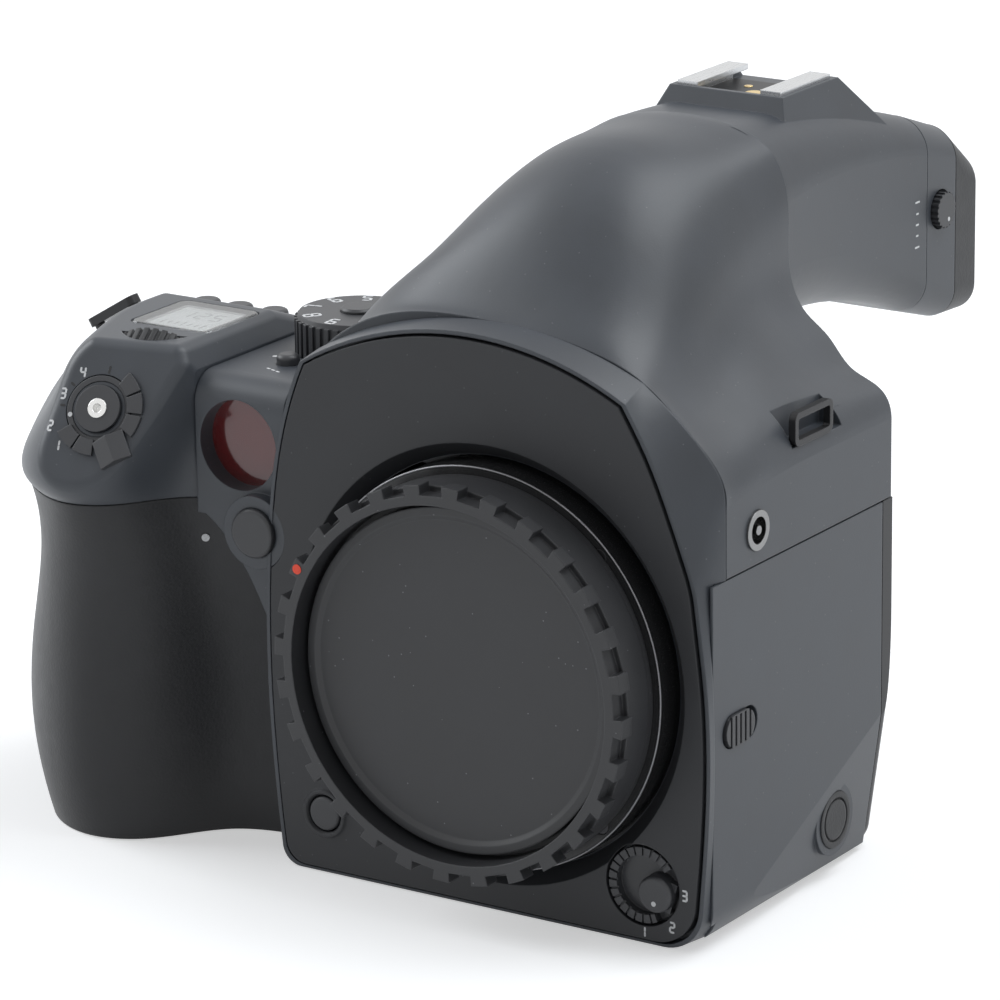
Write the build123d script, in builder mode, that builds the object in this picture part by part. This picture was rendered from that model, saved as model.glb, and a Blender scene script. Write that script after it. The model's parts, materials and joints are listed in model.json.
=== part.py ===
"""A medium format single lens reflex camera body with its body cap on and its film back off.

Units are millimetres. +Z is up, the lens looks along -Y, and +X is to the right of someone who
faces the lens. The origin is the mouth of the tripod socket, in the middle of the base.
"""

import os
from math import cos, hypot, radians, sin

from build123d import *

os.makedirs("parts", exist_ok=True)

# Driving dimensions. A depth is a distance behind the face of the front plate.
FRONT_Y = -30.0
LENS_Z = 43.1
HALF_W = 42.0
WALL = 2.4
GAP = 0.2
PLATE_T = 3.0
FLOOR_BACK = 5.5
SEAM_DEPTH = 6.5
SIDE_SEAM_DEPTH = 2.2
SIDE_SEAM_Z = 63.0
REAR_SEAM_DEPTH = 58.3
REAR_DEPTH = 61.5
BASE_T = 2.5
BASE_RIGHT = 35.0
COVER_T = 2.5
COVER_LIP_X = 41.5
COVER_LIP_BACK = 3.6

# The lens mount and the body cap.
FLANGE_DEPTH = -2.1
FLANGE_R = 34.9
THROAT_R = 30.5
MOUNT_SCREW_R = 32.7
CAP_FRONT = -12.9
CAP_R = 34.2
CAP_TEETH = 28

# The finder.
FINDER_X = 1.2
TUBE_END = 114.0
CUFF_END = 124.5
EYECUP_END = 134.0
PEDESTAL_TOP = 126.1
SHOE_Z = 123.2
SHOE_DEPTH = (75.8, 92.8)
SHOE_HALF = 10.3
SLOT_HALF = 9.3
SHOE_BASE_T = 0.6

# The grip.
SEAM_X = -61.2
HEAD_Z = 61.6
DECK_Z = 84.0
HEAD_TOP = 88.5


def front(depth):
    """A plane that faces forwards, with local x and y along X and Z."""
    return Plane((0, FRONT_Y + depth, 0), x_dir=(1, 0, 0), z_dir=(0, -1, 0))


def level(z):
    """A plane that faces up, with local x and y along X and the depth."""
    return Plane((0, FRONT_Y, z))


def side(x):
    """A plane that faces +X, with local x and y along the depth and Z."""
    return Plane((x, FRONT_Y, 0), x_dir=(0, 1, 0), z_dir=(1, 0, 0))


def at(x, depth, z):
    """A point from its X, its depth and its Z."""
    return (x, FRONT_Y + depth, z)


def shifted(points, amount):
    """The points moved sideways by amount, to the left of their direction of travel."""
    moved = []
    last = len(points) - 1
    for i, (x, y) in enumerate(points):
        ahead = points[min(i + 1, last)]
        behind = points[max(i - 1, 0)]
        run_x = ahead[0] - behind[0]
        run_y = ahead[1] - behind[1]
        length = hypot(run_x, run_y)
        moved.append((x - amount * run_y / length, y + amount * run_x / length))
    return moved


def ring_arc(outer, inner, angle, arc):
    """A flat face: the piece of a ring around the origin that starts at an angle, over an arc."""
    low = radians(angle)
    high = radians(angle + arc)
    middle = radians(angle + arc / 2)
    with BuildSketch() as piece:
        with BuildLine():
            Line((inner * cos(low), inner * sin(low)), (outer * cos(low), outer * sin(low)))
            ThreePointArc((outer * cos(low), outer * sin(low)), (outer * cos(middle), outer * sin(middle)),
                          (outer * cos(high), outer * sin(high)))
            Line((outer * cos(high), outer * sin(high)), (inner * cos(high), inner * sin(high)))
            ThreePointArc((inner * cos(high), inner * sin(high)), (inner * cos(middle), inner * sin(middle)),
                          (inner * cos(low), inner * sin(low)))
        make_face()
    return piece.sketch


# The front plate's outline, measured from the photograph, from bottom left over the arch.
PLATE_LEFT = [(-41.4, 0.8), (-43.9, 30), (-43.5, 56), (-41.0, 75), (-36.0, 89.8)]
PLATE_CROWN = (-5.5, 98.5)
PLATE_SHOULDER = [(25.7, 91.3), (29.8, 84.4), (33.6, 76.2), (37.3, 66.7), (39.2, 59.9)]
PLATE_RIGHT = [(39.2, 59.9), (41.0, 45), (40.9, 18), (39.4, 0.8)]

# The same outline where the front frame meets the housing behind it.
FRAME_LEFT = [(-43.6, 0), (-45.0, 30), (-44.6, 56), (-42.4, 75), (-37.4, 91)]
FRAME_CROWN = (-4.0, 100.4)
FRAME_SHOULDER = [(26.5, 94.0), (32.2, 89.6), (37.6, 84.6), (41, 80.4), (HALF_W, 75)]
FRAME_RIGHT = [(HALF_W, 75), (HALF_W, 45), (HALF_W, 18), (HALF_W, 0)]


def heading(start, end):
    """The direction from one point to another."""
    return (end[0] - start[0], end[1] - start[1])


def plate_outline(depth, grow, corner):
    """The front plate's outline on a plane at a depth, grown by an amount."""
    left = shifted(PLATE_LEFT, grow)
    shoulder = shifted(PLATE_SHOULDER, grow)
    right = shifted(PLATE_RIGHT, grow)
    right[0] = shoulder[-1]
    foot = PLATE_LEFT[0][1] - grow * 2 / 3
    left[0] = (left[0][0], foot)
    right[-1] = (right[-1][0], foot)
    crown = (PLATE_CROWN[0], PLATE_CROWN[1] + grow)
    return shield(depth, left, crown, shoulder, right, corner)


def frame_outline(depth, corner):
    """The outline of the front frame's rear edge on a plane at a depth."""
    return shield(depth, FRAME_LEFT, FRAME_CROWN, FRAME_SHOULDER, FRAME_RIGHT, corner)


def shield(depth, left, crown, shoulder, right, corner):
    """A closed outline of two sides, an arch, a shoulder and a foot, with the left corner half as round."""
    with BuildSketch(front(depth)) as outline:
        with BuildLine():
            Spline(*left)
            ThreePointArc(left[-1], crown, shoulder[0])
            Spline(*shoulder, tangents=[heading(*shoulder[:2]), heading(*right[:2])])
            Spline(*right, tangents=[heading(*right[:2]), heading(*right[-2:])])
            Line(right[-1], left[0])
        make_face()
        fillet(outline.vertices().sort_by(Axis.Y)[:2].sort_by(Axis.X)[1], corner)
        fillet(outline.vertices().sort_by(Axis.Y)[:2].sort_by(Axis.X)[0], corner / 2)
    return outline.sketch


# Controls that more than one piece makes room for.
DIAL_AT = (-45.6, 30.0)
DIAL_R = 11.0
SHAFT_R = 3.4
TOP_FRONT_AT = (-51.0, 16.6)
TOP_FRONT_R = 2.0
SYNC_AT = (16.4, 69.0)
SYNC_R = 3.4
LUG_NOTCH_X = 37.0
LUG_NOTCH_Z = 79.6
LUG_NOTCH_DEPTH = (28.8, 45.0)

# Front plate: a flat cover with a conical recess for the lens mount and three control holes.
DOF_AT = (-47.5, 58.5)
DOF_BOSS_R = 6.4
FRONT_BUTTON_AT = (-33.7, 10.8)
FRONT_BUTTON_R = 3.1
FRONT_BOSS_R = 4.5
LEVER_AT = (29.9, 10.2)
LEVER_R = 6.6

plate_face = plate_outline(PLATE_T, 0, 8)
with BuildPart() as front_plate:
    extrude(plate_face, amount=PLATE_T)
    with BuildSketch(front(PLATE_T)):
        with Locations((0, LENS_Z)):
            Circle(35.6)
    with BuildSketch(front(0)):
        with Locations((0, LENS_Z)):
            Circle(38.1)
    loft(mode=Mode.SUBTRACT)
    with BuildSketch(front(PLATE_T)):
        with Locations(DOF_AT):
            Circle(DOF_BOSS_R + GAP)
        with Locations(FRONT_BUTTON_AT):
            Circle(FRONT_BUTTON_R + GAP)
        with Locations(LEVER_AT):
            Circle(LEVER_R + 0.5)
    extrude(amount=PLATE_T, mode=Mode.SUBTRACT)
    # The low boss around the front button.
    with BuildSketch(front(0)):
        with Locations(FRONT_BUTTON_AT):
            Circle(FRONT_BOSS_R)
            Circle(FRONT_BUTTON_R + GAP, mode=Mode.SUBTRACT)
    extrude(amount=0.5, taper=35)
front_plate.part.label = "front_plate"
export_step(front_plate.part, "parts/front_plate.step")

# Front frame: the tray behind the plate, its shoulder, and the block with the focus lamp window.
AF_AT = (-52.2, 72.6)
AF_R = 7.9
AF_FACE = 3.0
AF_BARREL = 6.0
BLOCK_FOOT = 59.5
BLOCK_BACK = 58.2
plate_pocket = plate_outline(PLATE_T, 0.5, 7.5)
rim_front = plate_outline(0.4, 1.2, 7.5)
rim_back = frame_outline(SEAM_DEPTH, 7)
with BuildPart() as front_frame:
    loft([rim_front, rim_back])
    extrude(plate_pocket, amount=PLATE_T + 1, mode=Mode.SUBTRACT)
    with BuildSketch(front(SEAM_DEPTH)):
        with BuildLine():
            Polyline((-41.5, 3.5), (-41.5, 70), (-35, 87), (24, 91), (36, 82), (38.5, 76), (38.5, 3.5),
                     close=True)
        make_face()
    extrude(amount=SEAM_DEPTH - FLOOR_BACK, mode=Mode.SUBTRACT)
    with BuildSketch(side(HALF_W - COVER_T)):
        with Locations((COVER_LIP_BACK, 0)):
            Rectangle(5, SIDE_SEAM_Z, align=(Align.MIN, Align.MIN))
    extrude(amount=10, mode=Mode.SUBTRACT)
    with BuildSketch(side(COVER_LIP_X)):
        with Locations((SIDE_SEAM_DEPTH, 0)):
            Rectangle(5, SIDE_SEAM_Z, align=(Align.MIN, Align.MIN))
    extrude(amount=10, mode=Mode.SUBTRACT)
    # The skirt that reaches back to the grip.
    with BuildSketch(level(0)):
        with Locations((-43.1, 9.7)):
            Rectangle(1.8, 6.6)
    extrude(amount=BLOCK_FOOT)
    # The block beside the plate, with its round upper front edge.
    with BuildSketch(side(SEAM_X + GAP)) as block_side:
        with BuildLine():
            Line((BLOCK_BACK, DECK_Z), (8, DECK_Z))
            RadiusArc((8, DECK_Z), (AF_FACE, DECK_Z - 5), -5)
            Polyline((AF_FACE, DECK_Z - 5), (AF_FACE, BLOCK_FOOT), (BLOCK_BACK, BLOCK_FOOT),
                     (BLOCK_BACK, DECK_Z))
        make_face()
    extrude(amount=-42.6 - SEAM_X - GAP)
    with BuildSketch(side(SEAM_X + GAP + WALL)):
        with BuildLine():
            Polyline((BLOCK_BACK - WALL, DECK_Z - WALL), (8, DECK_Z - WALL), (AF_FACE + WALL, DECK_Z - 8),
                     (AF_FACE + WALL, BLOCK_FOOT - 1), (BLOCK_BACK - WALL, BLOCK_FOOT - 1), close=True)
        make_face()
    extrude(amount=13.6, mode=Mode.SUBTRACT)
    # The barrel of the focus lamp.
    with BuildSketch(front(AF_FACE + AF_BARREL)):
        with Locations(AF_AT):
            Circle(AF_R + 0.8)
    extrude(amount=AF_BARREL - 1)
    with BuildSketch(front(AF_FACE + AF_BARREL)):
        with Locations(AF_AT):
            Circle(AF_R)
    extrude(amount=AF_BARREL + 1, mode=Mode.SUBTRACT)
    # The tail of the block runs down beside the plate to a point.
    with BuildSketch(front(AF_FACE + 2.2)):
        with BuildLine():
            Polyline((-43.9, 37), (-43.9, BLOCK_FOOT + 1), (SEAM_X + GAP, BLOCK_FOOT + 1))
            Spline((SEAM_X + GAP, BLOCK_FOOT + 1), (-56.6, 57.4), (-50.8, 50.2), (-47.2, 43.5), (-43.9, 37))
        make_face()
    extrude(amount=2.2)
    extrude(plate_pocket, amount=PLATE_T + 1, mode=Mode.SUBTRACT)
    # The round boss of the preview button.
    with BuildSketch(front(AF_FACE + 2.2)):
        with Locations(DOF_AT):
            Circle(DOF_BOSS_R)
    extrude(amount=AF_FACE + 1.6)
    with BuildSketch(front(AF_FACE + 5)):
        with Locations(DOF_AT):
            Circle(4.4)
        with Locations((0, LENS_Z)):
            Circle(35.5)
        with Locations(FRONT_BUTTON_AT):
            Circle(2.2)
        with Locations(LEVER_AT):
            Circle(3.2)
    extrude(amount=10, mode=Mode.SUBTRACT)
    with BuildSketch(front(AF_FACE + 5)):
        with Locations(DOF_AT):
            Circle(5.3)
    extrude(amount=2.8, mode=Mode.SUBTRACT)
    with BuildSketch(level(DECK_Z - 5.5)):
        with Locations(DIAL_AT):
            Circle(SHAFT_R + 0.06)
        with Locations(TOP_FRONT_AT):
            Circle(TOP_FRONT_R + 0.06)
    extrude(amount=8, mode=Mode.SUBTRACT)
front_frame.part.label = "front_frame"
export_step(front_frame.part, "parts/front_frame.step")

# Prism housing: a bell that rises behind the arch, the finder tube, and the shoe's pedestal.
BELL_FOOT = SIDE_SEAM_Z + GAP
BELL = {
    SEAM_DEPTH + GAP: [(-41.8, 80), (-36.5, 91.3), (-25.5, 98.2), (-4, 100.4), (14, 98.4), (26.3, 94),
                       (32.2, 89.4), (37.6, 84.4), (41, 80.2), (42, 75)],
    14: [(-41.8, 81.5), (-36.2, 92), (-27, 101), (-2, 108), (13, 105), (24.7, 96.5), (28.8, 91.5),
         (34, 86.6), (40.4, 81.2), (42, 76)],
    21: [(-41.8, 82.6), (-34.5, 91), (-26, 104), (0, 115.2), (13, 111.6), (24, 99.6), (27.4, 93.6),
         (33, 87.8), (40.2, 81.8), (42, 76.5)],
    30: [(-41.8, 82.8), (-33.5, 84.2), (-25.5, 105), (0, 121.2), (14, 117), (23.5, 103.2), (25.6, 96.6),
         (31, 90), (39.8, 82.4), (42, 77)],
    43: [(-41.8, 82.8), (-33.5, 84.6), (-25.6, 96), (-23.6, 103.5), (-21.6, 110.5), (-15.4, 119.8),
         (-6.5, 123.9), (8, 123.6), (16.5, 118.8), (21.6, 111), (22.9, 105), (23.8, 99.5), (25.9, 95.4),
         (30.6, 90.4), (35.2, 86), (39.6, 82.4), (42, 77)],
    61: [(-41.8, 82), (-32, 84.6), (-22.6, 95), (-19.9, 104), (-19.4, 111.5), (-15.7, 120.6), (-6.5, 124.3),
         (9, 124.3), (18.1, 120.6), (21.8, 111.5), (21.9, 104), (22.6, 98), (25.2, 93.2), (29.4, 89.8),
         (34.2, 84.6), (39.2, 82.2), (42, 77)],
}
# Sections between the last two keep the skin straight on its way to the tube.
for depth in (49, 55):
    share = (depth - 43) / (61 - 43)
    BELL[depth] = [
        (x0 + share * (x1 - x0), z0 + share * (z1 - z0)) for (x0, z0), (x1, z1) in zip(BELL[43], BELL[61])
    ]


def bell_section(depth, points, inset):
    """One closed section of the bell, with its skin moved inwards by an amount."""
    skin = shifted(points, -inset)
    half = HALF_W - inset
    skin[0] = (-half, skin[0][1])
    skin[-1] = (half, skin[-1][1])
    with BuildSketch(front(depth)) as section:
        with BuildLine():
            Line((-half, BELL_FOOT), skin[0])
            Spline(*skin)
            Line(skin[-1], (half, BELL_FOOT))
            Line((half, BELL_FOOT), (-half, BELL_FOOT))
        make_face()
    return section.sketch


def tube_section(depth, half, foot, top, corner):
    """One rounded section of the finder tube."""
    with BuildSketch(front(depth)) as section:
        with Locations((FINDER_X, (foot + top) / 2)):
            RectangleRounded(2 * half, top - foot, corner)
    return section.sketch


TUBE = [(60.0, 20.3, 87.0, 124.1, 12.6), (84.0, 18.6, 87.2, 122.2, 10), (TUBE_END, 18.0, 79.6, 115.3, 6.5)]
TUBE_THROAT = (57.0, 16.5, 91.0, 121.5, 11)
TUBE_WALL = 2.2
bell_skin = [bell_section(depth, points, 0) for depth, points in sorted(BELL.items())]
bell_hollow = [
    bell_section(min(depth, REAR_DEPTH - 2.9), points, WALL) for depth, points in sorted(BELL.items())
]
tube_skin = [tube_section(*row) for row in TUBE]
tube_hollow = [
    tube_section(depth, half - TUBE_WALL, foot + TUBE_WALL, top - TUBE_WALL, corner - TUBE_WALL)
    for depth, half, foot, top, corner in [TUBE_THROAT, *TUBE[1:]]
]
with BuildPart() as prism_housing:
    loft(bell_skin)
    loft(tube_skin)
    with BuildSketch(level(114)):
        with Locations((FINDER_X, 87)):
            Rectangle(33, 38)
    with BuildSketch(level(PEDESTAL_TOP)):
        with Locations((FINDER_X, 84.3)):
            Rectangle(22.6, 19.0)
    loft()
    # The shoe's pocket, which is open at the back.
    with BuildSketch(level(SHOE_Z)):
        with Locations((FINDER_X, SHOE_DEPTH[0])):
            Rectangle(2 * SHOE_HALF, SHOE_DEPTH[1] - SHOE_DEPTH[0], align=(Align.CENTER, Align.MIN))
    extrude(amount=6, mode=Mode.SUBTRACT)
    with BuildSketch(level(SHOE_Z + SHOE_BASE_T)):
        with Locations((FINDER_X, SHOE_DEPTH[1] - 1)):
            Rectangle(2 * SLOT_HALF, 20, align=(Align.CENTER, Align.MIN))
    extrude(amount=6, mode=Mode.SUBTRACT)
    loft(bell_hollow, mode=Mode.SUBTRACT)
    loft(tube_hollow, mode=Mode.SUBTRACT)
    with BuildSketch(front(REAR_DEPTH)):
        with BuildLine():
            Polyline((-38, BELL_FOOT - 1), (-38, 79.5), (38, 79.5), (38, BELL_FOOT - 1), close=True)
        make_face()
    extrude(amount=6, mode=Mode.SUBTRACT)
    # Room for the mode dial, the sync socket and the strap lug.
    with BuildSketch(level(DECK_Z - 0.1)):
        with Locations(DIAL_AT):
            Circle(DIAL_R + 0.4)
    extrude(amount=12, mode=Mode.SUBTRACT)
    with BuildSketch(side(HALF_W - 5)):
        with Locations(SYNC_AT):
            Circle(SYNC_R)
    extrude(amount=6, mode=Mode.SUBTRACT)
    with BuildSketch(level(LUG_NOTCH_Z - 2)):
        with Locations((LUG_NOTCH_X - WALL, LUG_NOTCH_DEPTH[0] - WALL)):
            Rectangle(5.0, LUG_NOTCH_DEPTH[1] - LUG_NOTCH_DEPTH[0] + 2 * WALL, align=(Align.MIN, Align.MIN))
    extrude(amount=4.8)
    with BuildSketch(level(LUG_NOTCH_Z)):
        with Locations((LUG_NOTCH_X, LUG_NOTCH_DEPTH[0])):
            Rectangle(8, LUG_NOTCH_DEPTH[1] - LUG_NOTCH_DEPTH[0], align=(Align.MIN, Align.MIN))
    extrude(amount=12, mode=Mode.SUBTRACT)
prism_housing.part.label = "prism_housing"
export_step(prism_housing.part, "parts/prism_housing.step")

# Side cover: the lower left wall of the body, with a facet that runs in towards the bottom at the back.
FACET = Plane(at(HALF_W, 10, 4), z_dir=(1200, 73.5, -168))
RELEASE_AT = (11.0, 36.7)
RELEASE_SLOT = (11.2, 5.8)
REMOTE_AT = (43.5, 10.3)
REMOTE_R = 5.0
COVER_CORNER = 7.0
COVER_BACK = REAR_SEAM_DEPTH - GAP
COVER_TOP = SIDE_SEAM_Z - GAP / 2


def cover_blank(inner_x, outer_x, inset, corner):
    """A block along the side with a round lower edge, cut by the facet."""
    low = inset
    outline = side(inner_x) * Polygon(
        (SIDE_SEAM_DEPTH + GAP, low), (COVER_BACK, low), (COVER_BACK, COVER_TOP),
        (SIDE_SEAM_DEPTH + GAP, COVER_TOP), align=None)
    blank = extrude(outline, amount=outer_x - inner_x)
    lowest = blank.edges().filter_by(Axis.Y).sort_by(Axis.Z)[:2].sort_by(Axis.X)[-1]
    return split(fillet(lowest, corner), bisect_by=FACET.offset(-inset), keep=Keep.BOTTOM)


cover_outside = cover_blank(BASE_RIGHT - 1, HALF_W, 0.0, COVER_CORNER)
cover_inside = cover_blank(30.0, HALF_W - COVER_T, COVER_T, COVER_CORNER - COVER_T)
with BuildPart() as side_cover:
    add(cover_outside)
    add(cover_inside, mode=Mode.SUBTRACT)
    with BuildSketch(side(30)):
        Rectangle(70, 70, align=(Align.MIN, Align.MIN))
    extrude(amount=BASE_RIGHT + GAP - 30, mode=Mode.SUBTRACT)
    with BuildSketch(side(30)):
        Rectangle(SEAM_DEPTH + GAP, 70, align=(Align.MIN, Align.MIN))
    extrude(amount=HALF_W - COVER_T - 30, mode=Mode.SUBTRACT)
    with BuildSketch(side(30)):
        Rectangle(COVER_LIP_BACK + GAP, 70, align=(Align.MIN, Align.MIN))
    extrude(amount=COVER_LIP_X - 30, mode=Mode.SUBTRACT)
    # The boss around the cap of the remote socket.
    with BuildSketch(side(38.6)):
        with Locations(REMOTE_AT):
            Circle(REMOTE_R + 1.3)
    extrude(amount=2.8)
    with BuildSketch(side(38.0)):
        with Locations(REMOTE_AT):
            Circle(REMOTE_R)
        with Locations(RELEASE_AT):
            SlotOverall(*RELEASE_SLOT)
    extrude(amount=5, mode=Mode.SUBTRACT)
side_cover.part.label = "side_cover"
export_step(side_cover.part, "parts/side_cover.step")

# Remote socket cap: a round cap that turns in its boss, with a ring groove.
with BuildPart() as remote_socket_cap:
    with BuildSketch(side(39.0)):
        with Locations(REMOTE_AT):
            Circle(REMOTE_R - 0.06)
    extrude(amount=2.6)
    with BuildSketch(side(41.2)):
        with Locations(REMOTE_AT):
            Circle(3.9)
            Circle(3.5, mode=Mode.SUBTRACT)
    extrude(amount=0.5, mode=Mode.SUBTRACT)
remote_socket_cap.part.label = "remote_socket_cap"
export_step(remote_socket_cap.part, "parts/remote_socket_cap.step")

# Lens release button: a ridged pill that slides backwards in the side cover.
with BuildPart() as lens_release_button:
    with BuildSketch(side(39.6)):
        with Locations((RELEASE_AT[0] - 0.5, RELEASE_AT[1])):
            SlotOverall(9.0, 5.6)
    extrude(amount=2.9)
    with BuildSketch(side(42.0)):
        with Locations((RELEASE_AT[0] - 0.5, RELEASE_AT[1])):
            with GridLocations(1.5, 0, 5, 1):
                Rectangle(0.6, 5.2)
    extrude(amount=1, mode=Mode.SUBTRACT)
    with BuildSketch(side(38.2)):
        with Locations((RELEASE_AT[0], RELEASE_AT[1])):
            Rectangle(7.6, 8.2)
    extrude(amount=1.2)
    with BuildSketch(side(37.0)):
        with Locations((RELEASE_AT[0], RELEASE_AT[1])):
            Rectangle(5.4, 4)
    extrude(amount=2.8)
lens_release_button.part.label = "lens_release_button"
export_step(lens_release_button.part, "parts/lens_release_button.step")

# Base plate: the floor of the body, with the tripod bush's opening and four countersunk holes.
BASE_SCREWS_AT = [(-31.5, 12), (31.5, 12), (-31.5, 47), (31.5, 47)]
BUSH_SIZE = (20.0, 32.0)
BUSH_DEPTH = 34.5
with BuildPart() as base_plate:
    with BuildSketch(level(0)):
        with BuildLine():
            Polyline((-44, SEAM_DEPTH), (BASE_RIGHT, SEAM_DEPTH), (BASE_RIGHT, REAR_SEAM_DEPTH),
                     (-44, REAR_SEAM_DEPTH), close=True)
        make_face()
        with Locations((-43.1, 9.7)):
            Rectangle(1.8, 6.7, mode=Mode.SUBTRACT)
        with Locations((0, BUSH_DEPTH)):
            RectangleRounded(*BUSH_SIZE, 6, mode=Mode.SUBTRACT)
        with Locations(BASE_SCREWS_AT):
            Circle(1.2, mode=Mode.SUBTRACT)
    extrude(amount=BASE_T)
    with BuildSketch(level(0)):
        with Locations(BASE_SCREWS_AT):
            Circle(2.3)
    extrude(amount=1.3, mode=Mode.SUBTRACT)
base_plate.part.label = "base_plate"
export_step(base_plate.part, "parts/base_plate.step")

# Base screws: four cross-head screws that hold the base plate to the mirror box.
with BuildPart() as base_screws:
    with BuildSketch(level(0.1)):
        with Locations(BASE_SCREWS_AT):
            Circle(2.2)
    extrude(amount=1.2)
    with BuildSketch(level(1.3)):
        with Locations(BASE_SCREWS_AT):
            Circle(1.1)
    extrude(amount=4.0)
    with BuildSketch(level(0.1)):
        with Locations(BASE_SCREWS_AT):
            Rectangle(2.4, 0.5)
            Rectangle(0.5, 2.4)
    extrude(amount=0.6, mode=Mode.SUBTRACT)
base_screws.part.label = "base_screws"
export_step(base_screws.part, "parts/base_screws.step")

# Tripod bush: a steel plate with a large socket at the origin and a small one behind it.
BUSH_T = 5.6
LARGE_SOCKET_R = 4.76
SMALL_SOCKET_R = 3.175
SOCKET_LENGTH = 5.0
with BuildPart() as tripod_bush:
    with BuildSketch(level(0)):
        with Locations((0, BUSH_DEPTH)):
            RectangleRounded(*BUSH_SIZE, 6)
    extrude(amount=BUSH_T)
    with BuildSketch(level(0)):
        with Locations((0, 30)):
            Circle(LARGE_SOCKET_R)
        with Locations((0, 44.5)):
            Circle(SMALL_SOCKET_R)
    extrude(amount=SOCKET_LENGTH, mode=Mode.SUBTRACT)
tripod_bush.part.label = "tripod_bush"
export_step(tripod_bush.part, "parts/tripod_bush.step")

# Main board: a circuit board around the tripod bush, with its chips.
with BuildPart() as main_board:
    with BuildSketch(level(BASE_T)):
        with Locations((0, 30)):
            Rectangle(55, 42)
        with Locations((0, BUSH_DEPTH)):
            RectangleRounded(BUSH_SIZE[0] + 1, BUSH_SIZE[1] + 1, 6, mode=Mode.SUBTRACT)
    extrude(amount=1.6)
    with BuildSketch(level(BASE_T + 1.6)):
        with Locations((-20, 20), (-20, 36), (20, 28)):
            Rectangle(9, 9)
    extrude(amount=1.2)
main_board.part.label = "main_board"
export_step(main_board.part, "parts/main_board.step")

# Rear frame: the plate around the film gate that the film back hooks on to.
GATE_HALF_W = 30.0
GATE_Z = (20.0, 66.0)
with BuildPart() as rear_frame:
    with BuildSketch(front(REAR_DEPTH)) as rear_outline:
        with BuildLine():
            Polyline((-44, 0), (38.4, 0), (HALF_W, 25), (HALF_W, SIDE_SEAM_Z), (37.7, SIDE_SEAM_Z),
                     (37.7, 79.2), (-37.7, 79.2), (-37.7, SIDE_SEAM_Z), (-44, SIDE_SEAM_Z), close=True)
        make_face()
        fillet(rear_outline.vertices().sort_by(Axis.Y)[:2].sort_by(Axis.X)[-1], 4.5)
    extrude(amount=REAR_DEPTH - REAR_SEAM_DEPTH)
    foot_edges = rear_frame.edges().group_by(Axis.Y)[-1].sort_by(Axis.Z)[:2]
    fillet(foot_edges, 2.6)
    with BuildSketch(front(REAR_DEPTH)):
        with Locations((0, sum(GATE_Z) / 2)):
            Rectangle(2 * GATE_HALF_W, GATE_Z[1] - GATE_Z[0])
    extrude(amount=REAR_DEPTH - REAR_SEAM_DEPTH, mode=Mode.SUBTRACT)
    # The light seal ridge around the gate, and two hooks for the back.
    with BuildSketch(front(REAR_DEPTH + 1.3)):
        with Locations((0, sum(GATE_Z) / 2)):
            RectangleRounded(70, 56, 2)
            RectangleRounded(67, 53, 1, mode=Mode.SUBTRACT)
    extrude(amount=1.3)
    with BuildSketch(front(REAR_DEPTH + 3)):
        with Locations((-25, 7.5), (25, 7.5)):
            Rectangle(6, 3)
    extrude(amount=3)
    with BuildSketch(front(REAR_DEPTH + 3)):
        with Locations((-25, 9.5), (25, 9.5)):
            Rectangle(6, 2)
    extrude(amount=1.2)
rear_frame.part.label = "rear_frame"
export_step(rear_frame.part, "parts/rear_frame.step")

# Back contacts: a strip of gold pads that meets the film back.
with BuildPart() as back_contacts:
    with BuildSketch(front(REAR_DEPTH + 0.4)):
        with Locations((0, 7)):
            Rectangle(24, 4)
    extrude(amount=0.4)
    with BuildSketch(front(REAR_DEPTH + 0.7)):
        with Locations((0, 7)):
            with GridLocations(2.2, 0, 10, 1):
                Circle(0.7)
    extrude(amount=0.3)
back_contacts.part.label = "back_contacts"
export_step(back_contacts.part, "parts/back_contacts.step")

# Grip shell: a hollow handle with a waist for the fingers, open below the head and over the battery door.
GRIP_RIGHT = -44.0
GRIP = {
    0: [(-44, 13), (-53, 12.3), (-60, 9.5), (-66, 2.5), (-71.5, -3.5), (-79, -6), (-87, -3.8), (-97, 6),
        (-104.5, 19), (-107.5, 34), (-106, 48), (-99, 57.5), (-90, 60)],
    8: [(-44, 13), (-53, 12.3), (-60, 9), (-66, 1.5), (-72, -5), (-79, -7.6), (-88, -5), (-99.5, 6),
        (-107.3, 20), (-110, 34), (-108.5, 49), (-102, 58), (-92, 60.5)],
    34: [(-44, 13), (-53, 12.3), (-60, 9), (-66, 1.5), (-72, -5), (-79, -7.6), (-88, -5), (-99.5, 6),
         (-107.3, 20), (-110, 34), (-108.5, 49), (-102, 58), (-92, 60.5)],
    50: [(-44, 8.6), (-54, 8.2), (-61, 6.3), (-66.5, 0.5), (-72, -5), (-79, -7), (-87, -4.6), (-97, 5.5),
         (-104.8, 20), (-107.5, 34), (-106, 48.5), (-100, 57.5), (-91, 60.3)],
    HEAD_Z - GAP / 2: [(-44, 6.9), (-55, 6.6), (-62, 4.8), (-67, -0.5), (-72.5, -7.5), (-79, -10), (-87.5, -6.8),
                       (-99, 5.2), (-106.5, 20), (-109, 34), (-107.5, 48.5), (-101, 57.5), (-91, 60.3)],
}
GRIP_WALL = 2.4
DOOR_X = (-96.0, -66.0)
DOOR_DEPTH = (10.0, 56.0)
HINGE_AT = (-65.0, 1.3)
HINGE_DEPTH = (12.0, 54.0)
HINGE_R = 1.2
HINGE_PIN_R = 0.7


def plan_section(z, points, inset, right):
    """One closed plan section of the grip or its head, with its skin moved inwards by an amount."""
    skin = shifted(points, -inset)
    skin[0] = (right - inset, skin[0][1])
    corner = (right - inset, skin[-1][1])
    with BuildSketch(level(z)) as section:
        with BuildLine():
            Spline(*skin)
            Line(skin[-1], corner)
            Line(corner, skin[0])
        make_face()
    return section.sketch


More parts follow.
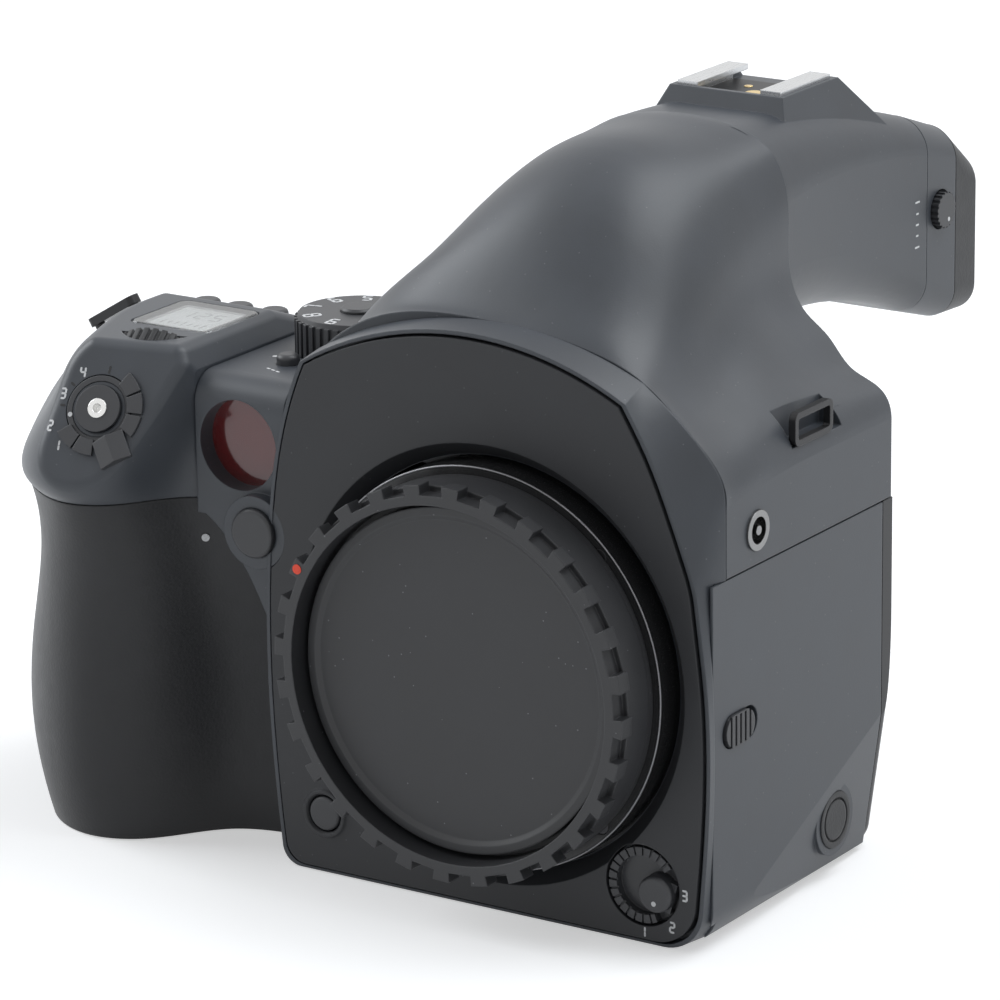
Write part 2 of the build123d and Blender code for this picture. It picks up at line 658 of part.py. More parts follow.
grip_skin = [plan_section(z, points, 0, GRIP_RIGHT) for z, points in GRIP.items()]
grip_hollow = [
    plan_section(z, points, GRIP_WALL, GRIP_RIGHT) for z, points in zip([-1, *list(GRIP)[1:]], GRIP.values())
]
with BuildPart(mode=Mode.PRIVATE) as grip_room:
    loft(grip_hollow)
    with BuildSketch(level(-2)):
        with Locations((-76, 27)):
            Rectangle(90, 90)
    extrude(amount=2 + BASE_T, mode=Mode.SUBTRACT)
with BuildPart() as grip_shell:
    loft(grip_skin)
    add(grip_room.part, mode=Mode.SUBTRACT)
    with BuildSketch(level(BLOCK_FOOT - GAP)):
        with Locations((SEAM_X - 0.3, -5)):
            Rectangle(30, 80, align=(Align.MIN, Align.MIN))
    extrude(amount=5, mode=Mode.SUBTRACT)
    # The battery door's opening, the room for its hinge and the holes for the hinge pins.
    with BuildSketch(level(0)):
        with Locations((DOOR_X[0] - GAP, DOOR_DEPTH[0] - GAP)):
            Rectangle(DOOR_X[1] - DOOR_X[0] + GAP, DOOR_DEPTH[1] - DOOR_DEPTH[0] + 2 * GAP,
                      align=(Align.MIN, Align.MIN))
        with Locations((DOOR_X[1] - 1, HINGE_DEPTH[0] - GAP)):
            Rectangle(3.6, HINGE_DEPTH[1] - HINGE_DEPTH[0] + 2 * GAP, align=(Align.MIN, Align.MIN))
    extrude(amount=BASE_T + 0.1, mode=Mode.SUBTRACT)
    with BuildSketch(front(HINGE_DEPTH[1] + 2)):
        with Locations(HINGE_AT):
            Circle(HINGE_PIN_R + 0.05)
    extrude(amount=HINGE_DEPTH[1] - HINGE_DEPTH[0] + 4, mode=Mode.SUBTRACT)
grip_shell.part.label = "grip_shell"
export_step(grip_shell.part, "parts/grip_shell.step")

# Battery door: a hinged plate in the floor of the grip, with a finger dish.
with BuildPart() as battery_door:
    with BuildSketch(level(0)):
        with Locations((DOOR_X[0], DOOR_DEPTH[0])):
            Rectangle(DOOR_X[1] - DOOR_X[0] - 1.2, DOOR_DEPTH[1] - DOOR_DEPTH[0], align=(Align.MIN, Align.MIN))
        with Locations((DOOR_X[0], HINGE_DEPTH[0])):
            Rectangle(DOOR_X[1] - DOOR_X[0] - 0.3, HINGE_DEPTH[1] - HINGE_DEPTH[0], align=(Align.MIN, Align.MIN))
    extrude(amount=BASE_T)
    with BuildSketch(front(HINGE_DEPTH[1])):
        with Locations(HINGE_AT):
            Circle(HINGE_R)
    extrude(amount=HINGE_DEPTH[1] - HINGE_DEPTH[0])
    with BuildSketch(level(0.5)):
        with Locations((-67, 33)):
            Rectangle(3, 40)
    extrude(amount=1.5)
    with BuildSketch(front(HINGE_DEPTH[1] + 1.5)):
        with Locations(HINGE_AT):
            Circle(HINGE_PIN_R)
    extrude(amount=HINGE_DEPTH[1] - HINGE_DEPTH[0] + 3)
    with BuildSketch(level(0)):
        with Locations((-90, 33)):
            SlotOverall(14, 5, rotation=90)
    extrude(amount=1, mode=Mode.SUBTRACT)
battery_door.part.label = "battery_door"
export_step(battery_door.part, "parts/battery_door.step")

# Battery holder: a cradle with six bores, open at the top. Batteries: six cells that stand in it.
CELL_R = 7.2
CELL_LENGTH = 50.0
CELL_PITCH = 15.1
CELLS_AT = (-82.7, 32.6)
with BuildPart() as battery_holder:
    with BuildSketch(level(3.0)):
        with BuildLine():
            Polyline((-92.4, 9.4), (-67, 9.4), (-67, 55.6), (-92.4, 55.6), (-98.4, 49.6), (-98.4, 15.4),
                     close=True)
        make_face()
    extrude(amount=52)
    with BuildSketch(level(4.2)):
        with Locations(CELLS_AT):
            with GridLocations(CELL_PITCH, CELL_PITCH, 2, 3):
                Circle(CELL_R + 0.08)
    extrude(amount=60, mode=Mode.SUBTRACT)
battery_holder.part.label = "battery_holder"
export_step(battery_holder.part, "parts/battery_holder.step")

with BuildPart() as batteries:
    with BuildSketch(level(4.2)):
        with Locations(CELLS_AT):
            with GridLocations(CELL_PITCH, CELL_PITCH, 2, 3):
                Circle(CELL_R)
    extrude(amount=CELL_LENGTH)
    with BuildSketch(level(4.2 + CELL_LENGTH)):
        with Locations(CELLS_AT):
            with GridLocations(CELL_PITCH, CELL_PITCH, 2, 3):
                Circle(2.7)
    extrude(amount=1.1)
batteries.part.label = "batteries"
export_step(batteries.part, "parts/batteries.step")

# Grip head: a hollow block with a slanted face for the shutter button and a deck for the window.
FACE_AT = at(-75, -5.5, 77.8)
FACE_TURN = 12.0
FACE_TILT = 28.0


def aimed(turn, tilt):
    """A direction that looks forwards, turned towards +X and tilted up, both in degrees."""
    flat = cos(radians(tilt))
    return (flat * sin(radians(turn)), -flat * cos(radians(turn)), sin(radians(tilt)))


FACE = Plane(FACE_AT, x_dir=(cos(radians(FACE_TURN)), sin(radians(FACE_TURN)), 0),
             z_dir=aimed(FACE_TURN, FACE_TILT))
DECK_SLOPE = Plane(at(-75, 30.5, HEAD_TOP), z_dir=(0, sin(radians(20)), cos(radians(20))))
SEAM_SLOPE = Plane(at(SEAM_X, 20, 84.4), z_dir=(3.9, 0, 2.2))
HEAD_FOOT = HEAD_Z + GAP / 2
HEAD = {
    HEAD_FOOT: [(SEAM_X, 4.8), (-67, -0.5), (-72.5, -7.5), (-79, -10), (-87.5, -6.8), (-99, 5.2),
                       (-106.5, 20), (-109, 34), (-107.5, 48.5), (-101, 57), (-90, 59.5)],
    66.5: [(SEAM_X, 4.3), (-66.5, -2), (-71.5, -10), (-78.5, -13.0), (-87, -10), (-98, 3.5), (-105.8, 20),
           (-108.3, 34), (-107, 48), (-100.5, 57), (-89.5, 59.3)],
    72: [(SEAM_X, 4), (-65.5, -2.5), (-70.5, -9.5), (-77.5, -12.5), (-85.5, -9), (-95, 4), (-103, 19),
         (-105.5, 33), (-104, 47), (-98, 55.5), (-88, 58)],
    82: [(SEAM_X, 3.5), (-64, -1), (-68, -5.5), (-75, -8), (-82, -5.5), (-88.5, 5), (-94, 18), (-96, 32),
         (-94.5, 45), (-89.5, 52.5), (-81, 55.5)],
    HEAD_TOP: [(SEAM_X, 3), (-63, 0), (-67, -3.2), (-73, -4.2), (-79, -1), (-83.5, 8), (-87, 19), (-87.5, 30),
               (-85.5, 41), (-81, 47), (-74, 50)],
}


def head_block(inset, foot):
    """The head's solid from the height of its foot, with every other surface moved inwards by an amount."""
    sections = [
        plan_section(z, points, inset, SEAM_X) for z, points in zip([foot, *list(HEAD)[1:]], HEAD.values())
    ]
    block = split(loft(sections), bisect_by=FACE.offset(-inset), keep=Keep.BOTTOM)
    block = split(block, bisect_by=DECK_SLOPE.offset(-inset), keep=Keep.BOTTOM)
    block = split(block, bisect_by=SEAM_SLOPE.offset(-inset), keep=Keep.BOTTOM)
    return split(block, bisect_by=level(HEAD_TOP - inset), keep=Keep.BOTTOM)


BUTTON_R = 4.1
COLLAR_R = 4.85
LEVER_RING_R = 5.9
LEVER_PAD_R = 8.2
LEVER_TAB_REACH = 10.4
DIAL_TURN = 12.0
DIAL_TILT = 29.4
FRONT_DIAL_R = 9.6
FRONT_DIAL_T = 4.5
FRONT_DIAL_AT = at(-72.6, 8.8, 80.4)
FRONT_DIAL = Plane(FRONT_DIAL_AT, x_dir=(cos(radians(DIAL_TURN)), sin(radians(DIAL_TURN)), 0),
                   z_dir=aimed(DIAL_TURN, -DIAL_TILT))
REAR_DIAL_AT = (-73.0, 49.2)
REAR_DIAL_Z = (73.5, 77.5)
REAR_DIAL_R = 8.5
DIAL_PIN_R = 1.2
WINDOW_X = (-81.5, -64.4)
WINDOW_DEPTH = (11.5, 28.5)
TOP_BUTTONS_AT = [(-81, 34.5), (-74, 34.5), (-67.2, 35.5)]
TOP_BUTTON_R = 2.5
HEAD_WALL = 2.4
window_centre = (sum(WINDOW_X) / 2, sum(WINDOW_DEPTH) / 2)
window_size = (WINDOW_X[1] - WINDOW_X[0], WINDOW_DEPTH[1] - WINDOW_DEPTH[0])
RIGHT_LUG = Plane(at(-99.6, 34, 80.2), x_dir=(9, 0, 5.4), z_dir=(-5.4, 0, 9))
HEAD_ROUND = 2.5


def head_edges(block):
    """The edges of the head's slanted and flat tops, apart from those along the seam."""
    tops = [FACE, DECK_SLOPE, SEAM_SLOPE, level(HEAD_TOP)]
    found = []
    for edge in block.edges():
        places = [edge @ share for share in (0, 0.25, 0.5, 0.75, 1)]
        on_top = any(all(abs(top.to_local_coords(place).Z) < 0.02 for place in places) for top in tops)
        if on_top and edge.center().X < SEAM_X - 0.1:
            found.append(edge)
    return found


head_blank = head_block(0, HEAD_FOOT)
head_outside = fillet(head_edges(head_blank), HEAD_ROUND)
head_inside = head_block(HEAD_WALL, HEAD_FOOT - 0.5)
with BuildPart() as grip_head:
    add(head_outside)
    add(head_inside, mode=Mode.SUBTRACT)
    # Room for the two dials, which come out through the walls.
    with BuildSketch(FRONT_DIAL.offset(-FRONT_DIAL_T / 2 - 0.3)):
        Circle(FRONT_DIAL_R + 0.4)
    extrude(amount=FRONT_DIAL_T + 0.6, mode=Mode.SUBTRACT)
    with BuildSketch(level(REAR_DIAL_Z[0] - 0.3)):
        with Locations(REAR_DIAL_AT):
            Circle(REAR_DIAL_R + 0.4)
    extrude(amount=REAR_DIAL_Z[1] - REAR_DIAL_Z[0] + 0.6, mode=Mode.SUBTRACT)
    # The web that carries the front dial, and the post that carries the rear dial.
    with BuildSketch(FRONT_DIAL.offset(FRONT_DIAL_T / 2 + 0.3)):
        with Locations((0, 3.4)):
            Rectangle(6, 11.0)
    extrude(amount=1.6)
    with BuildSketch(FRONT_DIAL.offset(-FRONT_DIAL_T / 2 - 0.5)):
        Circle(DIAL_PIN_R)
    extrude(amount=FRONT_DIAL_T + 1.5)
    with BuildSketch(level(REAR_DIAL_Z[0] - 0.5)):
        with Locations(REAR_DIAL_AT):
            Circle(DIAL_PIN_R)
    extrude(amount=7.5)
    # The groove of the drive lever, and the hole of the shutter button.
    with BuildSketch(FACE):
        Circle(LEVER_RING_R + 0.2)
        Circle(COLLAR_R, mode=Mode.SUBTRACT)
    extrude(amount=-1.4, mode=Mode.SUBTRACT)
    with BuildSketch(FACE.offset(-6)):
        Circle(BUTTON_R + 0.06)
    extrude(amount=8, mode=Mode.SUBTRACT)
    # The window's seat and the holes of the top buttons.
    with BuildSketch(level(HEAD_TOP - 1.5)):
        with Locations(window_centre):
            RectangleRounded(*window_size, 2)
    extrude(amount=3, mode=Mode.SUBTRACT)
    with BuildSketch(level(HEAD_TOP - 4)):
        with Locations(window_centre):
            RectangleRounded(window_size[0] - 4, window_size[1] - 4, 1)
    extrude(amount=4, mode=Mode.SUBTRACT)
    with BuildSketch(level(80)):
        with Locations(TOP_BUTTONS_AT):
            Circle(TOP_BUTTON_R + 0.06)
    extrude(amount=10, mode=Mode.SUBTRACT)
grip_head.part.label = "grip_head"
export_step(grip_head.part, "parts/grip_head.step")

# Top window: a clear cover over the display. Display panel: the glass and frame below it.
with BuildPart() as lcd_window:
    with BuildSketch(level(HEAD_TOP - 1.5)):
        with Locations(window_centre):
            RectangleRounded(*window_size, 2)
    extrude(amount=1.6)
    chamfer(lcd_window.edges().group_by(Axis.Z)[-1], 0.5)
lcd_window.part.label = "lcd_window"
export_step(lcd_window.part, "parts/lcd_window.step")

with BuildPart() as lcd_panel:
    with BuildSketch(level(HEAD_TOP - HEAD_WALL - 1.6)):
        with Locations(window_centre):
            Rectangle(window_size[0] - 3, window_size[1] - 3)
    extrude(amount=1.6)
    with BuildSketch(level(HEAD_TOP - HEAD_WALL)):
        with Locations(window_centre):
            Rectangle(window_size[0] - 5, window_size[1] - 5)
    extrude(amount=0.7)
lcd_panel.part.label = "lcd_panel"
export_step(lcd_panel.part, "parts/lcd_panel.step")

# Shutter button: a disc with a stem, and its silver bush in the middle.
BUSH_R = 1.7
BUTTON_PROUD = 0.8
with BuildPart() as shutter_button:
    with BuildSketch(FACE.offset(-3.2)):
        Circle(BUTTON_R)
    extrude(amount=3.2 + BUTTON_PROUD)
    with BuildSketch(FACE.offset(-4.2)):
        Circle(BUTTON_R + 1)
    extrude(amount=1.0)
    with BuildSketch(FACE.offset(-1.5)):
        Circle(BUSH_R)
    extrude(amount=5, mode=Mode.SUBTRACT)
shutter_button.part.label = "shutter_button"
export_step(shutter_button.part, "parts/shutter_button.step")

with BuildPart() as release_bush:
    with BuildSketch(FACE.offset(-1.5)):
        Circle(BUSH_R)
    extrude(amount=1.5 + BUTTON_PROUD + 0.15)
    with BuildSketch(FACE.offset(-0.7)):
        Circle(0.8)
    extrude(amount=5, mode=Mode.SUBTRACT)
release_bush.part.label = "release_bush"
export_step(release_bush.part, "parts/release_bush.step")

# Drive lever: a ring in its groove, raised pads that pass over the face, and a roof-shaped tab.
LEVER_TAB_ANGLE = radians(-60)
LEVER_TAB_OUT = FACE.x_dir * cos(LEVER_TAB_ANGLE) + FACE.y_dir * sin(LEVER_TAB_ANGLE)
LEVER_TAB = Plane(FACE.origin, x_dir=FACE.z_dir.cross(LEVER_TAB_OUT), z_dir=LEVER_TAB_OUT)
PAD_INNER_R = COLLAR_R + 0.6
PAD_LIFT = 0.08
pad_faces = [FACE.offset(PAD_LIFT) * ring_arc(LEVER_PAD_R, PAD_INNER_R, angle, 27)
             for angle in (-145, -115, -32, -2, 28)]
with BuildPart() as drive_lever:
    with BuildSketch(FACE.offset(-1.3)):
        Circle(LEVER_RING_R)
        Circle(COLLAR_R + 0.05, mode=Mode.SUBTRACT)
    extrude(amount=1.4)
    for face in pad_faces:
        extrude(face, amount=0.6)
    with BuildSketch(LEVER_TAB.offset(PAD_INNER_R)):
        with BuildLine():
            Polyline((-2.9, 0.1), (2.9, 0.1), (2.9, 0.9), (0, 1.9), (-2.9, 0.9), close=True)
        make_face()
    extrude(amount=LEVER_TAB_REACH - PAD_INNER_R)
drive_lever.part.label = "drive_lever"
export_step(drive_lever.part, "parts/drive_lever.step")

# Front and rear dials: knurled wheels on fixed pins.
FRONT_DIAL_TEETH = 36
REAR_DIAL_TEETH = 32
with BuildPart() as front_dial:
    with BuildSketch(FRONT_DIAL.offset(-FRONT_DIAL_T / 2)):
        Circle(FRONT_DIAL_R)
        Circle(DIAL_PIN_R + 0.05, mode=Mode.SUBTRACT)
        with PolarLocations(FRONT_DIAL_R, FRONT_DIAL_TEETH):
            Rectangle(0.9, 0.7, mode=Mode.SUBTRACT)
    extrude(amount=FRONT_DIAL_T)
front_dial.part.label = "front_dial"
export_step(front_dial.part, "parts/front_dial.step")

with BuildPart() as rear_dial:
    with BuildSketch(level(REAR_DIAL_Z[0])):
        with Locations(REAR_DIAL_AT):
            Circle(REAR_DIAL_R)
            Circle(DIAL_PIN_R + 0.05, mode=Mode.SUBTRACT)
            with PolarLocations(REAR_DIAL_R, REAR_DIAL_TEETH):
                Rectangle(0.9, 0.7, mode=Mode.SUBTRACT)
    extrude(amount=REAR_DIAL_Z[1] - REAR_DIAL_Z[0])
rear_dial.part.label = "rear_dial"
export_step(rear_dial.part, "parts/rear_dial.step")

# Mode dial: a ribbed drum with a shaft through the deck, and the lock button in its middle.
DIAL_Z = (DECK_Z + 0.1, 91.0)
LOCK_R = 3.0
DIAL_RIBS = 40
with BuildPart() as mode_dial:
    with BuildSketch(level(DIAL_Z[0])):
        with Locations(DIAL_AT):
            Circle(DIAL_R)
            with PolarLocations(DIAL_R, DIAL_RIBS):
                Rectangle(1.0, 0.8, mode=Mode.SUBTRACT)
    extrude(amount=DIAL_Z[1] - DIAL_Z[0] - 0.8)
    with BuildSketch(level(DIAL_Z[1] - 0.8)):
        with Locations(DIAL_AT):
            Circle(DIAL_R - 0.5)
    extrude(amount=0.8, taper=20)
    with BuildSketch(level(DECK_Z - 5)):
        with Locations(DIAL_AT):
            Circle(SHAFT_R)
    extrude(amount=5.2)
    with BuildSketch(level(DIAL_Z[1] - 4)):
        with Locations(DIAL_AT):
            Circle(LOCK_R + 0.06)
    extrude(amount=5, mode=Mode.SUBTRACT)
mode_dial.part.label = "mode_dial"
export_step(mode_dial.part, "parts/mode_dial.step")

with BuildPart() as mode_dial_lock:
    with BuildSketch(level(DIAL_Z[1] - 2.8)):
        with Locations(DIAL_AT):
            Circle(LOCK_R)
    extrude(amount=3.6)
    chamfer(mode_dial_lock.edges().group_by(Axis.Z)[-1], 0.4)
mode_dial_lock.part.label = "mode_dial_lock"
export_step(mode_dial_lock.part, "parts/mode_dial_lock.step")

# Top buttons: one in front of the mode dial, and three in a row behind the window.
with BuildPart() as top_front_button:
    with BuildSketch(level(DECK_Z - 3.2)):
        with Locations(TOP_FRONT_AT):
            Circle(TOP_FRONT_R)
    extrude(amount=5)
    fillet(top_front_button.edges().group_by(Axis.Z)[-1], 0.9)
    with BuildSketch(level(DECK_Z - 4)):
        with Locations(TOP_FRONT_AT):
            Circle(TOP_FRONT_R + 0.8)
    extrude(amount=0.9)
top_front_button.part.label = "top_front_button"
export_step(top_front_button.part, "parts/top_front_button.step")


def top_button(place):
    """A domed round button with a flange, that moves down through the deck's rear slope."""
    with BuildPart(mode=Mode.PRIVATE) as button:
        with BuildSketch(level(82.0)):
            with Locations(place):
                Circle(TOP_BUTTON_R)
        extrude(amount=87.5 - 82.0 - 0.2 * (place[1] - 34))
        fillet(button.edges().group_by(Axis.Z)[-1], 0.8)
        with BuildSketch(level(81.2)):
            with Locations(place):
                Circle(TOP_BUTTON_R + 0.7)
        extrude(amount=0.9)
    return button.part


button_parts = [top_button(place) for place in TOP_BUTTONS_AT]
with BuildPart() as top_button_1:
    add(button_parts[0])
top_button_1.part.label = "top_button_1"
export_step(top_button_1.part, "parts/top_button_1.step")

with BuildPart() as top_button_2:
    add(button_parts[1])
top_button_2.part.label = "top_button_2"
export_step(top_button_2.part, "parts/top_button_2.step")

with BuildPart() as top_button_3:
    add(button_parts[2])
top_button_3.part.label = "top_button_3"
export_step(top_button_3.part, "parts/top_button_3.step")

# Strap lugs: a slanted bar on the head, and an upright loop in the notch of the housing's shoulder.
with BuildPart() as right_strap_lug:
    with BuildSketch(RIGHT_LUG):
        with Locations((-4.4, 0), (4.4, 0)):
            Circle(1.0)
    extrude(amount=2.6)
    with BuildSketch(RIGHT_LUG.offset(2.0)):
        RectangleRounded(11.5, 3.2, 1.2)
    extrude(amount=1.6)
right_strap_lug.part.label = "right_strap_lug"
export_step(right_strap_lug.part, "parts/right_strap_lug.step")

with BuildPart() as left_strap_lug:
    with BuildSketch(side(40.5)):
        with Locations(((LUG_NOTCH_DEPTH[0] + LUG_NOTCH_DEPTH[1]) / 2 - 1.6, LUG_NOTCH_Z + 2.9)):
            RectangleRounded(12.4, 5.8, 1.4)
            RectangleRounded(10.4, 3.6, 0.5, mode=Mode.SUBTRACT)
    extrude(amount=1.3)
left_strap_lug.part.label = "left_strap_lug"
export_step(left_strap_lug.part, "parts/left_strap_lug.step")

# Sync socket: a chrome ring with a pin, pressed into the housing's side.
with BuildPart() as pc_socket:
    with BuildSketch(side(HALF_W - 4)):
        with Locations(SYNC_AT):
            Circle(SYNC_R)
    extrude(amount=4.4)
    with BuildSketch(side(HALF_W - 2.5)):
        with Locations(SYNC_AT):
            Circle(2.3)
            Circle(0.8, mode=Mode.SUBTRACT)
    extrude(amount=4, mode=Mode.SUBTRACT)
pc_socket.part.label = "pc_socket"
export_step(pc_socket.part, "parts/pc_socket.step")

# Mirror box: the dark box between the mount and the shutter, with seats for what it carries.
BOX_HALF = 36.0
ROOM_HALF = 31.5
BOX_BACK = 51.5
BOX_TOP = 77.0
BOX_FOOT = 6.0
ROOM_FLOOR = 12.0
MIRROR_PIVOT = (50.0, 66.0)
PIVOT_R = 0.8
PIN_AT = (32.3, LENS_Z)
PIN_R = 0.9
with BuildPart() as mirror_box:
    with BuildSketch(front(BOX_BACK)):
        with Locations((0, BOX_FOOT)):
            Rectangle(2 * BOX_HALF, BOX_TOP - BOX_FOOT, align=(Align.CENTER, Align.MIN))
    extrude(amount=BOX_BACK - FLOOR_BACK)
    with BuildSketch(front(BOX_BACK)):
        with Locations((0, ROOM_FLOOR)):
            Rectangle(2 * ROOM_HALF, 80, align=(Align.CENTER, Align.MIN))
    extrude(amount=BOX_BACK - FLOOR_BACK - 3, mode=Mode.SUBTRACT)
    with BuildSketch(front(FLOOR_BACK + 3)):
        with Locations((0, LENS_Z)):
            Circle(THROAT_R)
        with Locations((0, 50)):
            Rectangle(59, 24.5, align=(Align.CENTER, Align.MIN))
        with Locations(PIN_AT):
            Circle(PIN_R + 0.4)
        with Locations(FRONT_BUTTON_AT):
            Circle(2.4)
    extrude(amount=3, mode=Mode.SUBTRACT)
    # The pocket of the focus module, the holes of the mirror's pivot, and four feet for the base screws.
    with BuildSketch(level(ROOM_FLOOR)):
        with Locations((0, 34)):
            Rectangle(24, 20)
    extrude(amount=-5, mode=Mode.SUBTRACT)
    with BuildSketch(side(-ROOM_HALF - 2)):
        with Locations(MIRROR_PIVOT):
            Circle(PIVOT_R + 0.06)
    extrude(amount=2 * ROOM_HALF + 4, mode=Mode.SUBTRACT)
    with BuildSketch(level(BASE_T)):
        with Locations(BASE_SCREWS_AT):
            Circle(3.0)
            Circle(1.1, mode=Mode.SUBTRACT)
    extrude(amount=BOX_FOOT - BASE_T)
mirror_box.part.label = "mirror_box"
export_step(mirror_box.part, "parts/mirror_box.step")

# Mount ring: a flange with three bayonet tabs, four screw holes and the hole of the lock pin.
TAB_R = 28.6
TAB_DEPTH = (0.2, 1.6)
TAB_ARC = 50
SCREW_ANGLES = [45, 135, 225, 315]


def screw_places():
    """The centres of the mount screws on front planes."""
    return [(MOUNT_SCREW_R * cos(radians(angle)), LENS_Z + MOUNT_SCREW_R * sin(radians(angle)))
            for angle in SCREW_ANGLES]


tab_faces = [front(TAB_DEPTH[1]) * Pos(0, LENS_Z) * ring_arc(THROAT_R + 0.5, TAB_R, angle, TAB_ARC)
             for angle in (0, 120, 240)]
with BuildPart() as mount_ring:
    with BuildSketch(front(FLOOR_BACK)):
        with Locations((0, LENS_Z)):
            Circle(FLANGE_R)
            Circle(THROAT_R, mode=Mode.SUBTRACT)
        with Locations(PIN_AT):
            Circle(PIN_R + 0.06, mode=Mode.SUBTRACT)
        with Locations(screw_places()):
            Circle(0.8, mode=Mode.SUBTRACT)
    extrude(amount=FLOOR_BACK - FLANGE_DEPTH)
    for face in tab_faces:
        extrude(face, amount=TAB_DEPTH[1] - TAB_DEPTH[0])
    with BuildSketch(front(FLANGE_DEPTH + 1)):
        with Locations(screw_places()):
            Circle(1.5)
    extrude(amount=2, mode=Mode.SUBTRACT)
mount_ring.part.label = "mount_ring"
export_step(mount_ring.part, "parts/mount_ring.step")

with BuildPart() as mount_screws:
    with BuildSketch(front(FLANGE_DEPTH + 1)):
        with Locations(screw_places()):
            Circle(1.4)
    extrude(amount=0.9)
    with BuildSketch(front(FLOOR_BACK - 0.5)):
        with Locations(screw_places()):
            Circle(0.8)
    extrude(amount=FLOOR_BACK - 0.5 - FLANGE_DEPTH - 1)
    with BuildSketch(front(FLANGE_DEPTH + 0.5)):
        with Locations(screw_places()):
            Rectangle(1.6, 0.4)
            Rectangle(0.4, 1.6)
    extrude(amount=1, mode=Mode.SUBTRACT)
mount_screws.part.label = "mount_screws"
export_step(mount_screws.part, "parts/mount_screws.step")

# Mount contacts: a block on the floor of the mirror box, with gold pins that point to the lens.
with BuildPart() as mount_contacts:
    with BuildSketch(front(FLOOR_BACK + 5.5)):
        with Locations((0, ROOM_FLOOR)):
            Rectangle(20, 4.6, align=(Align.CENTER, Align.MIN))
    extrude(amount=2.5)
    with BuildSketch(front(FLOOR_BACK + 3)):
        with Locations((0, 15.4)):
            with GridLocations(2, 0, 9, 1):
                Circle(0.5)
    extrude(amount=3.2)
mount_contacts.part.label = "mount_contacts"
export_step(mount_contacts.part, "parts/mount_contacts.step")

# Lens lock pin: it comes out of the flange, and the release button draws it in.
with BuildPart() as lens_lock_pin:
    with BuildSketch(front(FLOOR_BACK - 0.1)):
        with Locations(PIN_AT):
            Circle(PIN_R)
    extrude(amount=FLOOR_BACK - 0.1 - FLANGE_DEPTH + 0.9)
lens_lock_pin.part.label = "lens_lock_pin"
export_step(lens_lock_pin.part, "parts/lens_lock_pin.step")

# Body cap: a dished disc with a toothed ring, a plug and three bayonet lugs.
CAP_BACK = FLANGE_DEPTH - 0.05
RIM_BACK = -9.9
RIM_R = 32.4
DISC_DEPTH = -9.1
DISC_R = 29.7
BEAD_H = 0.5
LUG_ARC = 42
lug_faces = [front(3.0) * Pos(0, LENS_Z) * ring_arc(THROAT_R - 0.3, TAB_R - 1.2, angle + 4, LUG_ARC)
             for angle in (0, 120, 240)]
with BuildPart() as body_cap:
    with BuildSketch(front(3.0)):
        with Locations((0, LENS_Z)):
            Circle(TAB_R - 0.08)
    extrude(amount=3.0 - CAP_BACK + 0.5)
    with BuildSketch(front(CAP_BACK)):
        with Locations((0, LENS_Z)):
            Circle(CAP_R - 0.8)
    extrude(amount=CAP_BACK - RIM_BACK)
    with BuildSketch(front(RIM_BACK)):
        with Locations((0, LENS_Z)):
            Circle(CAP_R)
            with PolarLocations(CAP_R, CAP_TEETH, 4):
                Rectangle(2 * (CAP_R - RIM_R), 4.4, mode=Mode.SUBTRACT)
    extrude(amount=RIM_BACK - CAP_FRONT)
    # The disc with its bead, set down in the ring, and the groove around it.
    with BuildSketch(front(DISC_DEPTH - BEAD_H)):
        with Locations((0, LENS_Z)):
            Circle(RIM_R - 1.6)
    extrude(amount=DISC_DEPTH - BEAD_H - CAP_FRONT, mode=Mode.SUBTRACT)
    with BuildSketch(front(DISC_DEPTH)):
        with Locations((0, LENS_Z)):
            Circle(DISC_R - 2.2)
    with BuildSketch(front(DISC_DEPTH - BEAD_H)):
        with Locations((0, LENS_Z)):
            Circle(DISC_R - 1.4)
    loft(mode=Mode.SUBTRACT)
    with BuildSketch(front(DISC_DEPTH + 2.6)):
        with Locations((0, LENS_Z)):
            Circle(RIM_R - 1.6)
            Circle(DISC_R, mode=Mode.SUBTRACT)
    extrude(amount=4, mode=Mode.SUBTRACT)
    # The hollow behind the disc, and the groove that clears the lock pin.
    with BuildSketch(front(3.0)):
        with Locations((0, LENS_Z)):
            Circle(TAB_R - 2.6)
    extrude(amount=3.0 - DISC_DEPTH - 1.6, mode=Mode.SUBTRACT)
    with BuildSketch(front(CAP_BACK)):
        with Locations((0, LENS_Z)):
            Circle(PIN_AT[0] + PIN_R + 0.15)
            Circle(PIN_AT[0] - PIN_R - 0.15, mode=Mode.SUBTRACT)
    extrude(amount=1.3, mode=Mode.SUBTRACT)
    for face in lug_faces:
        extrude(face, amount=3.0 - TAB_DEPTH[1] - 0.1)
body_cap.part.label = "body_cap"
export_step(body_cap.part, "parts/body_cap.step")

# Front controls: the preview button, the front button and the focus mode lever.
with BuildPart() as dof_button:
    with BuildSketch(front(5.4)):
        with Locations(DOF_AT):
            Circle(4.33)
    extrude(amount=5.8)
    fillet(dof_button.edges().group_by(Axis.Y)[0], 0.6)
    with BuildSketch(front(5.7)):
        with Locations(DOF_AT):
            Circle(4.9)
    extrude(amount=0.45)
dof_button.part.label = "dof_button"
export_step(dof_button.part, "parts/dof_button.step")

with BuildPart() as front_button:
    with BuildSketch(front(2.0)):
        with Locations(FRONT_BUTTON_AT):
            Circle(FRONT_BUTTON_R)
    extrude(amount=2.4)
    with BuildSketch(front(FLOOR_BACK + 0.5)):
        with Locations(FRONT_BUTTON_AT):
            Circle(2.14)
    extrude(amount=FLOOR_BACK - 1.5)
    fillet(front_button.edges().group_by(Axis.Y)[0], 0.6)
front_button.part.label = "front_button"
export_step(front_button.part, "parts/front_button.step")

